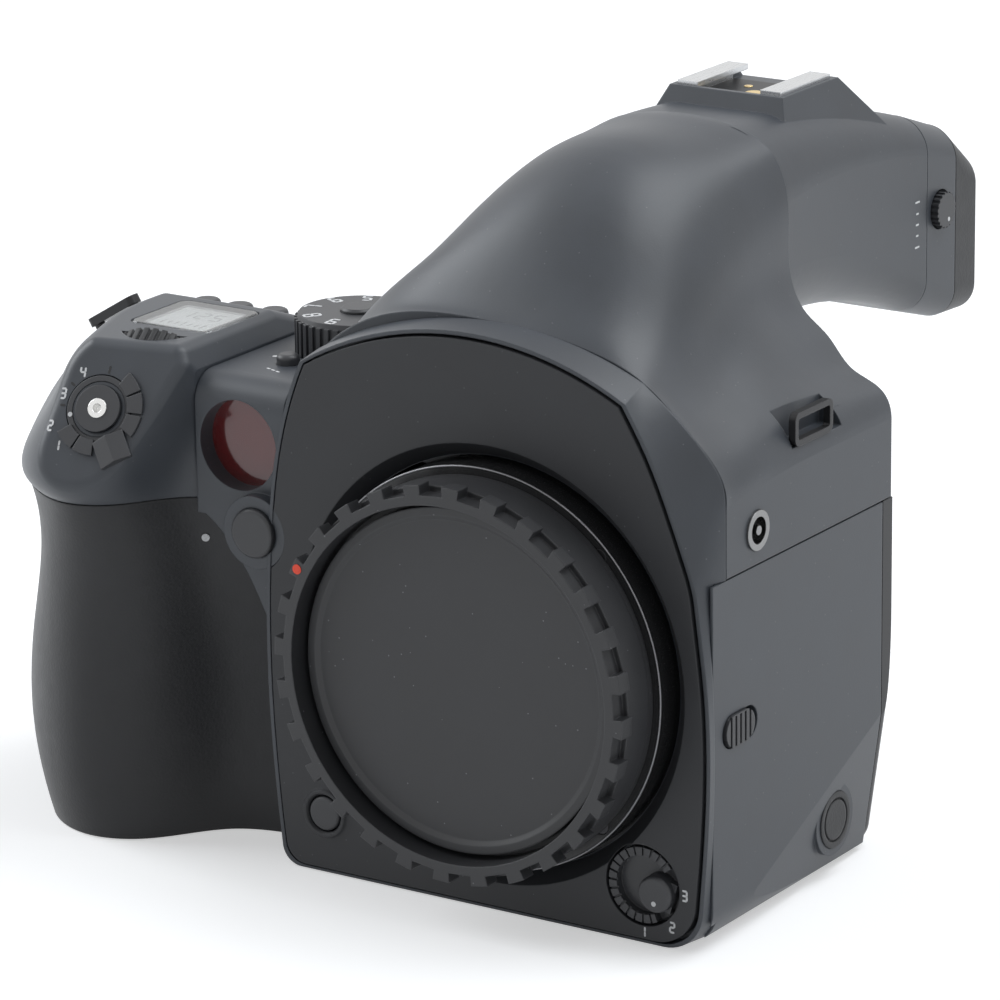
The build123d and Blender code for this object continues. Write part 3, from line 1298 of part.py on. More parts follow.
LEVER_ANGLE = -15
LEVER_RIM = 1.5
rim_face = front(1.7) * Pos(*LEVER_AT) * ring_arc(LEVER_R, LEVER_R - LEVER_RIM, LEVER_ANGLE + 50, 260)
with BuildPart() as focus_mode_lever:
    with BuildSketch(front(2.6)):
        with Locations(LEVER_AT):
            Circle(LEVER_R)
    extrude(amount=0.9)
    extrude(rim_face, amount=1.6)
    with BuildSketch(front(0.5)):
        with Locations(LEVER_AT):
            with PolarLocations(LEVER_R - LEVER_RIM / 2, 24):
                Rectangle(LEVER_RIM + 0.4, 0.35)
    extrude(amount=1, mode=Mode.SUBTRACT)
    with BuildSketch(front(FLOOR_BACK - 0.1)):
        with Locations(LEVER_AT):
            Circle(3.14)
    extrude(amount=3.2)
    # The round knob, and the web that joins it to the rim.
    with BuildSketch(front(1.7)):
        with Locations(LEVER_AT):
            with Locations(Rot(0, 0, LEVER_ANGLE)):
                with Locations((3.0, 0)):
                    Circle(3.2)
    extrude(amount=3.0)
    fillet(focus_mode_lever.edges().group_by(Axis.Y)[0], 0.7)
    with BuildSketch(front(1.7)):
        with Locations(LEVER_AT):
            with Locations(Rot(0, 0, LEVER_ANGLE)):
                with Locations((4.4, 0)):
                    Rectangle(3.2, 5.4)
    extrude(amount=1.4)
focus_mode_lever.part.label = "focus_mode_lever"
export_step(focus_mode_lever.part, "parts/focus_mode_lever.step")

# Focus lamp window: a red glass set back in its round opening.
with BuildPart() as af_window:
    with BuildSketch(front(AF_FACE + AF_BARREL - 1)):
        with Locations(AF_AT):
            Circle(AF_R)
    extrude(amount=1.4)
    with BuildSketch(front(AF_FACE + AF_BARREL + 0.6)):
        with Locations(AF_AT):
            Circle(6.2)
    extrude(amount=1.6)
af_window.part.label = "af_window"
export_step(af_window.part, "parts/af_window.step")

# Focusing screen: a matt glass that lies on top of the mirror box.
with BuildPart() as focusing_screen:
    with BuildSketch(level(BOX_TOP)):
        with Locations((0, 27.5)):
            Rectangle(66, 38)
    extrude(amount=2)
focusing_screen.part.label = "focusing_screen"
export_step(focusing_screen.part, "parts/focusing_screen.step")

# Pentaprism: a glass block with a roof, a slanted front and a flat exit face.
PRISM_FOOT = BOX_TOP + 2.0
with BuildPart() as pentaprism:
    with BuildSketch(front(50)):
        with BuildLine():
            Polyline((-23, PRISM_FOOT), (23, PRISM_FOOT), (23, 92), (0, 114), (-23, 92), close=True)
        make_face()
    extrude(amount=40)
    with BuildSketch(side(-30)):
        with BuildLine():
            Polyline((8, PRISM_FOOT + 8), (30, 116), (8, 117), close=True)
        make_face()
        with BuildLine():
            Polyline((44, PRISM_FOOT - 1), (51, PRISM_FOOT + 8), (51, PRISM_FOOT - 1), close=True)
        make_face()
    extrude(amount=60, mode=Mode.SUBTRACT)
pentaprism.part.label = "pentaprism"
export_step(pentaprism.part, "parts/pentaprism.step")

# Mirrors: the main mirror on its pivoted carrier, and the small one that sends light to the focus module.
MIRROR_PLANE = Plane(at(0, *MIRROR_PIVOT), x_dir=(1, 0, 0), z_dir=(0, -1, 1))
MIRROR_HALF = 28.0
MIRROR_LENGTH = 44.2
SUB_Y = -24.0
SUB_Z = -3.0
SUB_HALF = 10.0
with BuildPart() as reflex_mirror:
    with BuildSketch(MIRROR_PLANE):
        with BuildLine():
            Polyline((-MIRROR_HALF, -3), (MIRROR_HALF, -3), (MIRROR_HALF, 4 - MIRROR_LENGTH),
                     (MIRROR_HALF - 5, -MIRROR_LENGTH), (5 - MIRROR_HALF, -MIRROR_LENGTH),
                     (-MIRROR_HALF, 4 - MIRROR_LENGTH), close=True)
        make_face()
    extrude(amount=1.8)
reflex_mirror.part.label = "reflex_mirror"
export_step(reflex_mirror.part, "parts/reflex_mirror.step")

with BuildPart() as mirror_carrier:
    with BuildSketch(MIRROR_PLANE.offset(-1.5)):
        with BuildLine():
            Polyline((-MIRROR_HALF, 0), (MIRROR_HALF, 0), (MIRROR_HALF, 5 - MIRROR_LENGTH),
                     (MIRROR_HALF - 5, 1 - MIRROR_LENGTH), (5 - MIRROR_HALF, 1 - MIRROR_LENGTH),
                     (-MIRROR_HALF, 5 - MIRROR_LENGTH), close=True)
        make_face()
    extrude(amount=1.5)
    with BuildSketch(side(-MIRROR_HALF)):
        with Locations(MIRROR_PIVOT):
            Circle(1.5)
    extrude(amount=2 * MIRROR_HALF)
    with BuildSketch(side(-ROOM_HALF - 1.5)):
        with Locations(MIRROR_PIVOT):
            Circle(PIVOT_R)
    extrude(amount=2 * ROOM_HALF + 3)
    # The ears that carry the small mirror.
    with BuildSketch(MIRROR_PLANE.offset(-4.2)):
        with Locations((-SUB_HALF - 1.5, SUB_Y), (SUB_HALF + 1.5, SUB_Y)):
            Rectangle(1.6, 3.6)
    extrude(amount=3)
    with BuildSketch(Plane(MIRROR_PLANE * Pos(-20, SUB_Y, SUB_Z) * Rot(0, 90, 0))):
        Circle(0.66)
    extrude(amount=40, mode=Mode.SUBTRACT)
mirror_carrier.part.label = "mirror_carrier"
export_step(mirror_carrier.part, "parts/mirror_carrier.step")

SUB_LENGTH = 16.0
with BuildPart() as sub_mirror:
    with BuildSketch(Plane(MIRROR_PLANE * Pos(-SUB_HALF - 2.2, SUB_Y, SUB_Z) * Rot(0, 90, 0))):
        Circle(0.6)
    extrude(amount=2 * SUB_HALF + 4.4)
    with BuildSketch(MIRROR_PLANE.offset(SUB_Z - SUB_LENGTH)):
        with Locations((0, SUB_Y)):
            Rectangle(2 * SUB_HALF, 1.1)
    extrude(amount=SUB_LENGTH)
sub_mirror.part.label = "sub_mirror"
export_step(sub_mirror.part, "parts/sub_mirror.step")

# Focus module: a block in the floor of the mirror box with a glass top. Drive motor: it winds the shutter.
with BuildPart() as af_module:
    with BuildSketch(level(ROOM_FLOOR - 5)):
        with Locations((0, 34)):
            Rectangle(24, 20)
    extrude(amount=4.6)
    with BuildSketch(level(ROOM_FLOOR - 0.4)):
        with Locations((0, 34)):
            Rectangle(14, 10)
    extrude(amount=0.6)
af_module.part.label = "af_module"
export_step(af_module.part, "parts/af_module.step")

with BuildPart() as drive_motor:
    with BuildSketch(front(50)):
        with Locations((SEAM_X + GAP + WALL + 6.0, 72)):
            Circle(6.0)
    extrude(amount=30)
    with BuildSketch(front(20)):
        with Locations((SEAM_X + GAP + WALL + 6.0, 72)):
            Circle(1.5)
    extrude(amount=5)
drive_motor.part.label = "drive_motor"
export_step(drive_motor.part, "parts/drive_motor.step")

# Focal plane shutter: a frame with a slot, and three blades that fall together.
BLADE_T = 0.5
BLADE_H = 16.0
BLADE_HALF = 31.5
BLADE_DEPTHS = [54.0, 54.75, 55.5]
BLADE_FEET = [49.0, 35.0, 21.0]
with BuildPart() as shutter_frame:
    with BuildSketch(front(REAR_SEAM_DEPTH)):
        with Locations((0, BASE_T)):
            Rectangle(2 * 34, BOX_TOP - BASE_T, align=(Align.CENTER, Align.MIN))
    extrude(amount=REAR_SEAM_DEPTH - BOX_BACK)
    with BuildSketch(front(REAR_SEAM_DEPTH)):
        with Locations((0, LENS_Z)):
            Rectangle(57, 42.2)
    extrude(amount=REAR_SEAM_DEPTH - BOX_BACK, mode=Mode.SUBTRACT)
    with BuildSketch(front(56.1)):
        with Locations((0, 4)):
            Rectangle(2 * BLADE_HALF + 0.4, 62.4, align=(Align.CENTER, Align.MIN))
    extrude(amount=2.7, mode=Mode.SUBTRACT)
shutter_frame.part.label = "shutter_frame"
export_step(shutter_frame.part, "parts/shutter_frame.step")


def shutter_blade(depth, foot):
    """One thin blade at a depth, with its lower edge at foot."""
    with BuildPart(mode=Mode.PRIVATE) as blade:
        with BuildSketch(front(depth)):
            with Locations((0, foot)):
                Rectangle(2 * BLADE_HALF, BLADE_H, align=(Align.CENTER, Align.MIN))
        extrude(amount=BLADE_T)
    return blade.part


blade_parts = [shutter_blade(depth, foot) for depth, foot in zip(BLADE_DEPTHS, BLADE_FEET)]
with BuildPart() as shutter_blade_1:
    add(blade_parts[0])
shutter_blade_1.part.label = "shutter_blade_1"
export_step(shutter_blade_1.part, "parts/shutter_blade_1.step")

with BuildPart() as shutter_blade_2:
    add(blade_parts[1])
shutter_blade_2.part.label = "shutter_blade_2"
export_step(shutter_blade_2.part, "parts/shutter_blade_2.step")

with BuildPart() as shutter_blade_3:
    add(blade_parts[2])
shutter_blade_3.part.label = "shutter_blade_3"
export_step(shutter_blade_3.part, "parts/shutter_blade_3.step")

# Hot shoe: a folded rail in the pedestal's pocket, and its contacts.
LIP_HALF = 6.25
SLOT_H = 2.0
shoe_length = SHOE_DEPTH[1] - SHOE_DEPTH[0]
with BuildPart() as hot_shoe:
    with BuildSketch(front(SHOE_DEPTH[1])):
        with Locations((FINDER_X, SHOE_Z)):
            Rectangle(2 * SHOE_HALF, SHOE_BASE_T + SLOT_H + 1.0, align=(Align.CENTER, Align.MIN))
        with Locations((FINDER_X, SHOE_Z + SHOE_BASE_T)):
            Rectangle(2 * SLOT_HALF, SLOT_H, align=(Align.CENTER, Align.MIN), mode=Mode.SUBTRACT)
            Rectangle(2 * LIP_HALF, 10, align=(Align.CENTER, Align.MIN), mode=Mode.SUBTRACT)
    extrude(amount=shoe_length)
hot_shoe.part.label = "hot_shoe"
export_step(hot_shoe.part, "parts/hot_shoe.step")

with BuildPart() as shoe_contacts:
    with BuildSketch(level(SHOE_Z + SHOE_BASE_T)):
        with Locations((FINDER_X, 84.3)):
            Circle(1.6)
            with GridLocations(7, 8, 2, 2):
                Circle(0.8)
    extrude(amount=0.2)
shoe_contacts.part.label = "shoe_contacts"
export_step(shoe_contacts.part, "parts/shoe_contacts.step")

# Eyepiece: the housing at the end of the finder tube, its lens, the rubber cup and the focus dial.
LENS_SEAT = 121.5
CUFF = [(TUBE_END + 0.15, 18.0, 79.6, 115.3, 6.5), (CUFF_END, 18.0, 76.3, 111.7, 6)]
CUP = [(CUFF_END + 0.15, 18.0, 76.3, 111.7, 6), (EYECUP_END - 1.5, 17.8, 76.0, 105.5, 5.5),
       (EYECUP_END, 16.6, 77.6, 103.2, 5)]
VIEW_Z = 94.0
DIOPTER_AT = (119.0, 98.0)
DIOPTER_R = 3.3
DIOPTER_FACE = FINDER_X + 18.0
with BuildPart() as eyepiece_housing:
    loft([tube_section(*row) for row in CUFF])
    loft([tube_section(depth, half - 2.2, foot + 2.2, top - 2.2, corner - 2.2)
          for depth, half, foot, top, corner in CUFF], mode=Mode.SUBTRACT)
    with BuildSketch(front(CUFF_END)):
        with Locations((FINDER_X, VIEW_Z)):
            RectangleRounded(33.2, 31.6, 7)
            RectangleRounded(26, 19, 3, mode=Mode.SUBTRACT)
    extrude(amount=CUFF_END - LENS_SEAT)
    with BuildSketch(side(DIOPTER_FACE - 1.2)):
        with Locations(DIOPTER_AT):
            Circle(DIOPTER_R + 0.3)
    extrude(amount=3, mode=Mode.SUBTRACT)
    with BuildSketch(side(DIOPTER_FACE - 4)):
        with Locations(DIOPTER_AT):
            Circle(1.46)
    extrude(amount=4, mode=Mode.SUBTRACT)
eyepiece_housing.part.label = "eyepiece_housing"
export_step(eyepiece_housing.part, "parts/eyepiece_housing.step")

with BuildPart() as eyepiece_lens:
    with BuildSketch(front(LENS_SEAT)):
        with Locations((FINDER_X, VIEW_Z)):
            RectangleRounded(28, 22, 3)
    extrude(amount=3.5)
eyepiece_lens.part.label = "eyepiece_lens"
export_step(eyepiece_lens.part, "parts/eyepiece_lens.step")

with BuildPart() as eyecup:
    loft([tube_section(*row) for row in CUP], ruled=True)
    with BuildSketch(front(EYECUP_END)):
        with Locations((FINDER_X, 90.6)):
            RectangleRounded(28, 20, 4)
    with BuildSketch(front(CUFF_END)):
        with Locations((FINDER_X, VIEW_Z)):
            RectangleRounded(26, 19, 3)
    loft(mode=Mode.SUBTRACT)
eyecup.part.label = "eyecup"
export_step(eyecup.part, "parts/eyecup.step")

with BuildPart() as diopter_dial:
    with BuildSketch(side(DIOPTER_FACE - 1.1)):
        with Locations(DIOPTER_AT):
            Circle(DIOPTER_R)
            with PolarLocations(DIOPTER_R, 20):
                Rectangle(0.5, 0.5, mode=Mode.SUBTRACT)
    extrude(amount=2.4)
    with BuildSketch(side(DIOPTER_FACE - 3.0)):
        with Locations(DIOPTER_AT):
            Circle(1.4)
    extrude(amount=2.5)
diopter_dial.part.label = "diopter_dial"
export_step(diopter_dial.part, "parts/diopter_dial.step")
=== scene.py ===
import json
import math

import bmesh
import bpy
from mathutils import Matrix, Vector


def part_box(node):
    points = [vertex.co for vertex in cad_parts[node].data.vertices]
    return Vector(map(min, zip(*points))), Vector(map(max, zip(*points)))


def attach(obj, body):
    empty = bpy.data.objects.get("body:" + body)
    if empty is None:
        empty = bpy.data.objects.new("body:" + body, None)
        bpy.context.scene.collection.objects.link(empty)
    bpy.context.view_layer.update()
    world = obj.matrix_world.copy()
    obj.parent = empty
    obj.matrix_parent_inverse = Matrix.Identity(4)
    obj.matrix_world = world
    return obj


# A medium format camera body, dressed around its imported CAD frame. Lengths are millimetres until
# they reach Blender, which works in metres. A depth is a distance behind the front plate's face.
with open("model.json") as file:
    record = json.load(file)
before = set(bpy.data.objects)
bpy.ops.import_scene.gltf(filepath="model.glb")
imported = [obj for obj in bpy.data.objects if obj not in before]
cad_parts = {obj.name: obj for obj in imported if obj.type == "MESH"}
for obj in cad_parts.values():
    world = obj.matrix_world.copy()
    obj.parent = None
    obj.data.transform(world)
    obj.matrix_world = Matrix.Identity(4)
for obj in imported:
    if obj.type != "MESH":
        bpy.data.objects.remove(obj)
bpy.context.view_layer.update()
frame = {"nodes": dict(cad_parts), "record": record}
nodes = frame["nodes"]

MM = 0.001
FRONT_Y = -30.0
LENS_Z = 43.1


def at(x, depth, z):
    """A point in metres from its X, depth and Z in millimetres."""
    return Vector((x, FRONT_Y + depth, z)) * MM


# Camera, at the photograph's angle.
AZIMUTH, ELEVATION, ROLL = math.radians(33.283), math.radians(16.839), math.radians(-0.717)
DISTANCE, FOCAL, SENSOR = 925.08, 203.08, 36.0
CLIP_NEAR, CLIP_FAR = 0.05, 20
TARGET = Vector((2.776, -30.0, 72.292)) * MM
back = Vector((
    math.sin(AZIMUTH) * math.cos(ELEVATION),
    -math.cos(AZIMUTH) * math.cos(ELEVATION),
    math.sin(ELEVATION),
))
right = Vector((math.cos(AZIMUTH), math.sin(AZIMUTH), 0))
up = back.cross(right)
right_rolled = right * math.cos(ROLL) + up * math.sin(ROLL)
up_rolled = up * math.cos(ROLL) - right * math.sin(ROLL)
camera_data = bpy.data.cameras.new("camera")
camera_data.lens = FOCAL
camera_data.sensor_width = SENSOR
camera_data.clip_start = CLIP_NEAR
camera_data.clip_end = CLIP_FAR
camera = bpy.data.objects.new("camera", camera_data)
bpy.context.scene.collection.objects.link(camera)
turn = Matrix((right_rolled, up_rolled, back)).transposed()
camera.matrix_world = Matrix.Translation(TARGET + back * DISTANCE * MM) @ turn.to_4x4()
bpy.context.scene.camera = camera
bpy.context.scene.view_settings.view_transform = "Standard"


# Light: a white surround for the camera and for reflections, and three soft lamps.
WHITE = (1, 1, 1, 1)
SKY_COLOUR, SKY_STRENGTH = (0.93, 0.96, 1.0, 1), 0.30
LAMP_COLOUR = (0.93, 0.965, 1.0)


def split_by_rays(tree, plain, seen, output):
    """One shader lights surfaces, and the other is what camera, glossy and transmission rays meet."""
    path = tree.nodes.new("ShaderNodeLightPath")
    first = tree.nodes.new("ShaderNodeMath")
    first.operation = "MAXIMUM"
    tree.links.new(path.outputs["Is Camera Ray"], first.inputs[0])
    tree.links.new(path.outputs["Is Glossy Ray"], first.inputs[1])
    second = tree.nodes.new("ShaderNodeMath")
    second.operation = "MAXIMUM"
    tree.links.new(first.outputs[0], second.inputs[0])
    tree.links.new(path.outputs["Is Transmission Ray"], second.inputs[1])
    choice = tree.nodes.new("ShaderNodeMixShader")
    tree.links.new(second.outputs[0], choice.inputs[0])
    tree.links.new(plain.outputs[0], choice.inputs[1])
    tree.links.new(seen.outputs[0], choice.inputs[2])
    tree.links.new(choice.outputs[0], tree.nodes.new(output).inputs["Surface"])


world = bpy.data.worlds.new("studio")
bpy.context.scene.world = world
world.use_nodes = True
tree = world.node_tree
tree.nodes.clear()
ambient = tree.nodes.new("ShaderNodeBackground")
ambient.inputs["Color"].default_value = SKY_COLOUR
ambient.inputs["Strength"].default_value = SKY_STRENGTH
surround = tree.nodes.new("ShaderNodeBackground")
surround.inputs["Color"].default_value = WHITE
surround.inputs["Strength"].default_value = 1.0
split_by_rays(tree, ambient, surround, "ShaderNodeOutputWorld")


def lamp(name, place, aim, size, power):
    """A square soft lamp at a place, aimed at a point, both in metres."""
    data = bpy.data.lights.new(name, "AREA")
    data.shape = "SQUARE"
    data.size = size
    data.energy = power
    data.color = LAMP_COLOUR
    thing = bpy.data.objects.new(name, data)
    bpy.context.scene.collection.objects.link(thing)
    thing.location = place
    thing.rotation_mode = "QUATERNION"
    thing.rotation_quaternion = (Vector(aim) - Vector(place)).to_track_quat("-Z", "Y")


MIDDLE = (0, 0, 0.06)
lamp("lamp_top", (0.40, 0.40, 1.15), MIDDLE, 0.9, 9)
lamp("lamp_right", (1.1, 0.2, 0.5), MIDDLE, 0.7, 1.0)
lamp("lamp_left", (-1.1, -0.2, 0.75), MIDDLE, 0.8, 9)

# Floor: pale and plain, just under the camera, and white where no shadow falls.
FLOOR_REACH, FLOOR_DROP = 6, 0.0002
FLOOR_PALE, FLOOR_GLOW = 0.8, 0.47
floor_mesh = bpy.data.meshes.new("floor")
shape = bmesh.new()
bmesh.ops.create_grid(shape, x_segments=2, y_segments=2, size=FLOOR_REACH)
shape.to_mesh(floor_mesh)
shape.free()
floor = bpy.data.objects.new("floor", floor_mesh)
bpy.context.scene.collection.objects.link(floor)
floor.location.z = -FLOOR_DROP
floor_paint = bpy.data.materials.new("floor_paper")
floor_paint.use_nodes = True
tree = floor_paint.node_tree
tree.nodes.clear()
paper = tree.nodes.new("ShaderNodeBsdfDiffuse")
paper.inputs["Color"].default_value = (FLOOR_PALE, FLOOR_PALE, FLOOR_PALE, 1)
glow = tree.nodes.new("ShaderNodeEmission")
glow.inputs["Color"].default_value = WHITE
glow.inputs["Strength"].default_value = FLOOR_GLOW
both = tree.nodes.new("ShaderNodeAddShader")
tree.links.new(paper.outputs[0], both.inputs[0])
tree.links.new(glow.outputs[0], both.inputs[1])
split_by_rays(tree, paper, both, "ShaderNodeOutputMaterial")
floor_mesh.materials.append(floor_paint)


# Materials. Each is procedural, with its grain, its colour variation and its lighter edges, which stand
# for wear and are also a painted highlight. An edge is lightened where its rounded normal leaves the
# flat one: none at the first cosine, full at the second.
EDGE_SAMPLES = 4
WEAR_AND_HIGHLIGHT_NONE, WEAR_AND_HIGHLIGHT_FULL = 0.995, 0.86
# Specks of dust: their colour, the spacing between them and their radius, in millimetres.
DUST, DUST_CELL, DUST_R = (0.30, 0.30, 0.31), 2.4, 0.13


class Paint:
    """A material's node tree with the few steps that most finishes share."""

    def __init__(self, name):
        self.material = bpy.data.materials.new(name)
        self.material.use_nodes = True
        self.tree = self.material.node_tree
        self.tree.nodes.clear()
        out = self.tree.nodes.new("ShaderNodeOutputMaterial")
        self.shader = self.tree.nodes.new("ShaderNodeBsdfPrincipled")
        self.tree.links.new(self.shader.outputs[0], out.inputs["Surface"])
        self.place = self.tree.nodes.new("ShaderNodeTexCoord").outputs["Object"]

    def link(self, source, target):
        """A wire from one socket to another."""
        self.tree.links.new(source, target)

    def set(self, **values):
        """Constants on the shader's own sockets."""
        for name, value in values.items():
            self.shader.inputs[name.replace("_", " ")].default_value = value

    def stretched(self, scale):
        """The object's coordinates scaled along each axis."""
        node = self.tree.nodes.new("ShaderNodeMapping")
        node.inputs["Scale"].default_value = scale
        self.link(self.place, node.inputs["Vector"])
        return node.outputs[0]

    def noise(self, size, detail=2.0, place=None):
        """Noise between 0 and 1 whose features are about size millimetres across."""
        node = self.tree.nodes.new("ShaderNodeTexNoise")
        node.inputs["Scale"].default_value = 1 / (size * MM)
        node.inputs["Detail"].default_value = detail
        self.link(place or self.place, node.inputs["Vector"])
        return node.outputs["Fac"]

    def cells(self, size, place=None):
        """Distance to the nearest cell centre, for leather and stipple."""
        node = self.tree.nodes.new("ShaderNodeTexVoronoi")
        node.inputs["Scale"].default_value = 1 / (size * MM)
        self.link(place or self.place, node.inputs["Vector"])
        return node.outputs["Distance"]

    def ramp(self, value, stops):
        """A colour ramp through (position, colour) stops."""
        node = self.tree.nodes.new("ShaderNodeValToRGB")
        spots = node.color_ramp.elements
        spots[0].position, spots[0].color = stops[0][0], (*stops[0][1], 1)
        spots[1].position, spots[1].color = stops[-1][0], (*stops[-1][1], 1)
        for position, colour in stops[1:-1]:
            spots.new(position).color = (*colour, 1)
        self.link(value, node.inputs[0])
        return node.outputs[0]

    def span(self, value, low, high):
        """A value between 0 and 1 brought to the range from low to high."""
        node = self.tree.nodes.new("ShaderNodeMapRange")
        node.inputs["To Min"].default_value = low
        node.inputs["To Max"].default_value = high
        self.link(value, node.inputs["Value"])
        return node.outputs[0]

    def mix(self, share, a, b):
        """The colour a where share is 0 and b where it is 1. Each is a socket or three numbers."""
        node = self.tree.nodes.new("ShaderNodeMix")
        node.data_type = "RGBA"
        self.link(share, node.inputs[0])
        for source, target in ((a, node.inputs[6]), (b, node.inputs[7])):
            if isinstance(source, tuple):
                target.default_value = (*source, 1)
            else:
                self.link(source, target)
        return node.outputs[2]

    def math(self, kind, a, b):
        """One operation on two values. Each is a socket or a number."""
        node = self.tree.nodes.new("ShaderNodeMath")
        node.operation = kind
        for source, target in ((a, node.inputs[0]), (b, node.inputs[1])):
            if isinstance(source, (int, float)):
                target.default_value = source
            else:
                self.link(source, target)
        return node.outputs[0]

    def edges(self, radius):
        """1 on convex and concave edges and 0 on flat ground, with the rounded normal as well."""
        soft = self.tree.nodes.new("ShaderNodeBevel")
        soft.samples = EDGE_SAMPLES
        soft.inputs["Radius"].default_value = radius * MM
        flat = self.tree.nodes.new("ShaderNodeNewGeometry")
        dot = self.tree.nodes.new("ShaderNodeVectorMath")
        dot.operation = "DOT_PRODUCT"
        self.link(soft.outputs[0], dot.inputs[0])
        self.link(flat.outputs["Normal"], dot.inputs[1])
        # This share lightens the edges' colour in the finishes: partly wear, partly a painted highlight.
        wear_and_highlight = self.tree.nodes.new("ShaderNodeMapRange")
        wear_and_highlight.inputs["From Min"].default_value = WEAR_AND_HIGHLIGHT_NONE
        wear_and_highlight.inputs["From Max"].default_value = WEAR_AND_HIGHLIGHT_FULL
        self.link(dot.outputs["Value"], wear_and_highlight.inputs["Value"])
        return wear_and_highlight.outputs[0], soft.outputs[0]

    def bump(self, height, depth, normal=None):
        """Relief of a depth in millimetres, onto the shader's normal."""
        node = self.tree.nodes.new("ShaderNodeBump")
        node.inputs["Strength"].default_value = 1.0
        node.inputs["Distance"].default_value = depth * MM
        self.link(height, node.inputs["Height"])
        if normal is not None:
            self.link(normal, node.inputs["Normal"])
        self.link(node.outputs[0], self.shader.inputs["Normal"])


def tint(colour, factor):
    """A colour made darker or lighter."""
    return tuple(c * factor for c in colour)


def moulded(name, colour, rough, grain=0.35, depth=0.012, radius=0.35, wear_and_highlight_amount=0.45, spec=0.5, dust=0):
    """Painted or moulded plastic: fine grain, slow colour drift, edges lighter for wear and as a painted
    highlight, and specks of dust.
    """
    p = Paint(name)
    wear_and_highlight, normal = p.edges(radius)
    drift = p.noise(14, 3)
    base = p.ramp(drift, [(0.3, tint(colour, 0.9)), (0.7, tint(colour, 1.1))])
    speckle = p.noise(0.9, 1)
    # Edges painted lighter: partly wear, partly a painted highlight.
    edge_wear_and_highlight = p.math("MULTIPLY", wear_and_highlight, p.span(speckle, wear_and_highlight_amount * 0.5, wear_and_highlight_amount))
    cover = p.mix(edge_wear_and_highlight, base, tint(colour, 2.1))
    if dust:
        specks = p.math("LESS_THAN", p.cells(DUST_CELL), DUST_R / DUST_CELL)
        cover = p.mix(p.math("MULTIPLY", specks, dust), cover, DUST)
    p.link(cover, p.shader.inputs["Base Color"])
    p.link(p.span(drift, rough - 0.05, rough + 0.05), p.shader.inputs["Roughness"])
    p.set(Specular_IOR_Level=spec)
    p.bump(p.noise(grain, 2), depth, normal)
    return p.material


def rubber(name, colour, rough=0.62, cell=0.55, depth=0.02, spec=0.5):
    """Soft rubber skin: a fine leather stipple over slow darkening."""
    p = Paint(name)
    wear_and_highlight, normal = p.edges(0.5)
    drift = p.noise(22, 3)
    base = p.ramp(drift, [(0.3, tint(colour, 0.85)), (0.7, tint(colour, 1.15))])
    # Edges painted lighter: partly wear, partly a painted highlight.
    p.link(p.mix(p.math("MULTIPLY", wear_and_highlight, 0.3), base, tint(colour, 1.8)), p.shader.inputs["Base Color"])
    p.link(p.span(p.noise(3, 2), rough - 0.05, rough + 0.06), p.shader.inputs["Roughness"])
    p.set(Sheen_Weight=0.06, Sheen_Roughness=0.5, Specular_IOR_Level=spec)
    height = p.math("ADD", p.cells(cell), p.math("MULTIPLY", p.noise(0.25, 2), 0.4))
    p.bump(height, depth, normal)
    return p.material


def metal(name, colour, rough, along=(1, 1, 1), depth=0.004, metallic=1.0):
    """Turned or brushed metal, with fine lines drawn out along the axes that have small scales."""
    p = Paint(name)
    wear_and_highlight, normal = p.edges(0.2)
    lines = p.noise(0.18, 2, p.stretched(along))
    base = p.ramp(lines, [(0.3, tint(colour, 0.88)), (0.7, colour)])
    # Edges painted slightly lighter: partly wear, partly a painted highlight.
    p.link(p.mix(p.math("MULTIPLY", wear_and_highlight, 0.4), base, tint(colour, 1.1)), p.shader.inputs["Base Color"])
    p.link(p.span(lines, rough - 0.06, rough + 0.08), p.shader.inputs["Roughness"])
    p.set(Metallic=metallic)
    p.bump(lines, depth, normal)
    return p.material


def glass(name, colour, rough=0.04, transmission=0.9, coat=0.0):
    """Glass or clear plastic with faint smears in its gloss."""
    p = Paint(name)
    smear = p.noise(9, 3)
    p.link(p.ramp(smear, [(0.3, tint(colour, 0.94)), (0.7, colour)]), p.shader.inputs["Base Color"])
    p.link(p.span(smear, rough, rough + 0.05), p.shader.inputs["Roughness"])
    p.set(Transmission_Weight=transmission, IOR=1.49, Coat_Weight=coat, Coat_Roughness=0.03)
    return p.material


def printed(name, colour, rough=0.5):
    """Printed marks: flat ink with a slightly broken edge and patchy cover."""
    p = Paint(name)
    cover = p.noise(0.5, 2)
    p.link(p.ramp(cover, [(0.2, tint(colour, 0.82)), (0.6, colour)]), p.shader.inputs["Base Color"])
    p.link(p.span(cover, rough - 0.05, rough + 0.1), p.shader.inputs["Roughness"])
    p.bump(cover, 0.004)
    return p.material


BODY = (0.050, 0.056, 0.066)
PLATE = (0.026, 0.027, 0.030)
GRIP = (0.014, 0.0145, 0.0165)
CAP = (0.028, 0.0285, 0.031)
body_black = moulded("body_black", BODY, 0.40, dust=0.25)
plate_black = moulded(
    "plate_black", PLATE, 0.50, grain=0.25, depth=0.008, wear_and_highlight_amount=0.4, spec=0.42, dust=0.2
)
grip_rubber = rubber("grip_rubber", GRIP, rough=0.46, spec=0.4)
eyecup_rubber = rubber("eyecup_rubber", tint(BODY, 0.8), cell=0.4)
cap_black = moulded("cap_black", CAP, 0.46, grain=0.3, depth=0.014, radius=0.4, wear_and_highlight_amount=0.8, dust=0.5)
button_black = moulded("button_black", (0.045, 0.046, 0.050), 0.42, grain=0.3, depth=0.006, radius=0.25)
black_metal = metal("black_metal", (0.035, 0.035, 0.037), 0.36, metallic=0.6)
# The mount's steel is near black: its real black paint, and a painted dark reflection on its steel face.
mount_steel = metal("mount_steel", (0.030, 0.030, 0.031), 0.24, metallic=0.3)
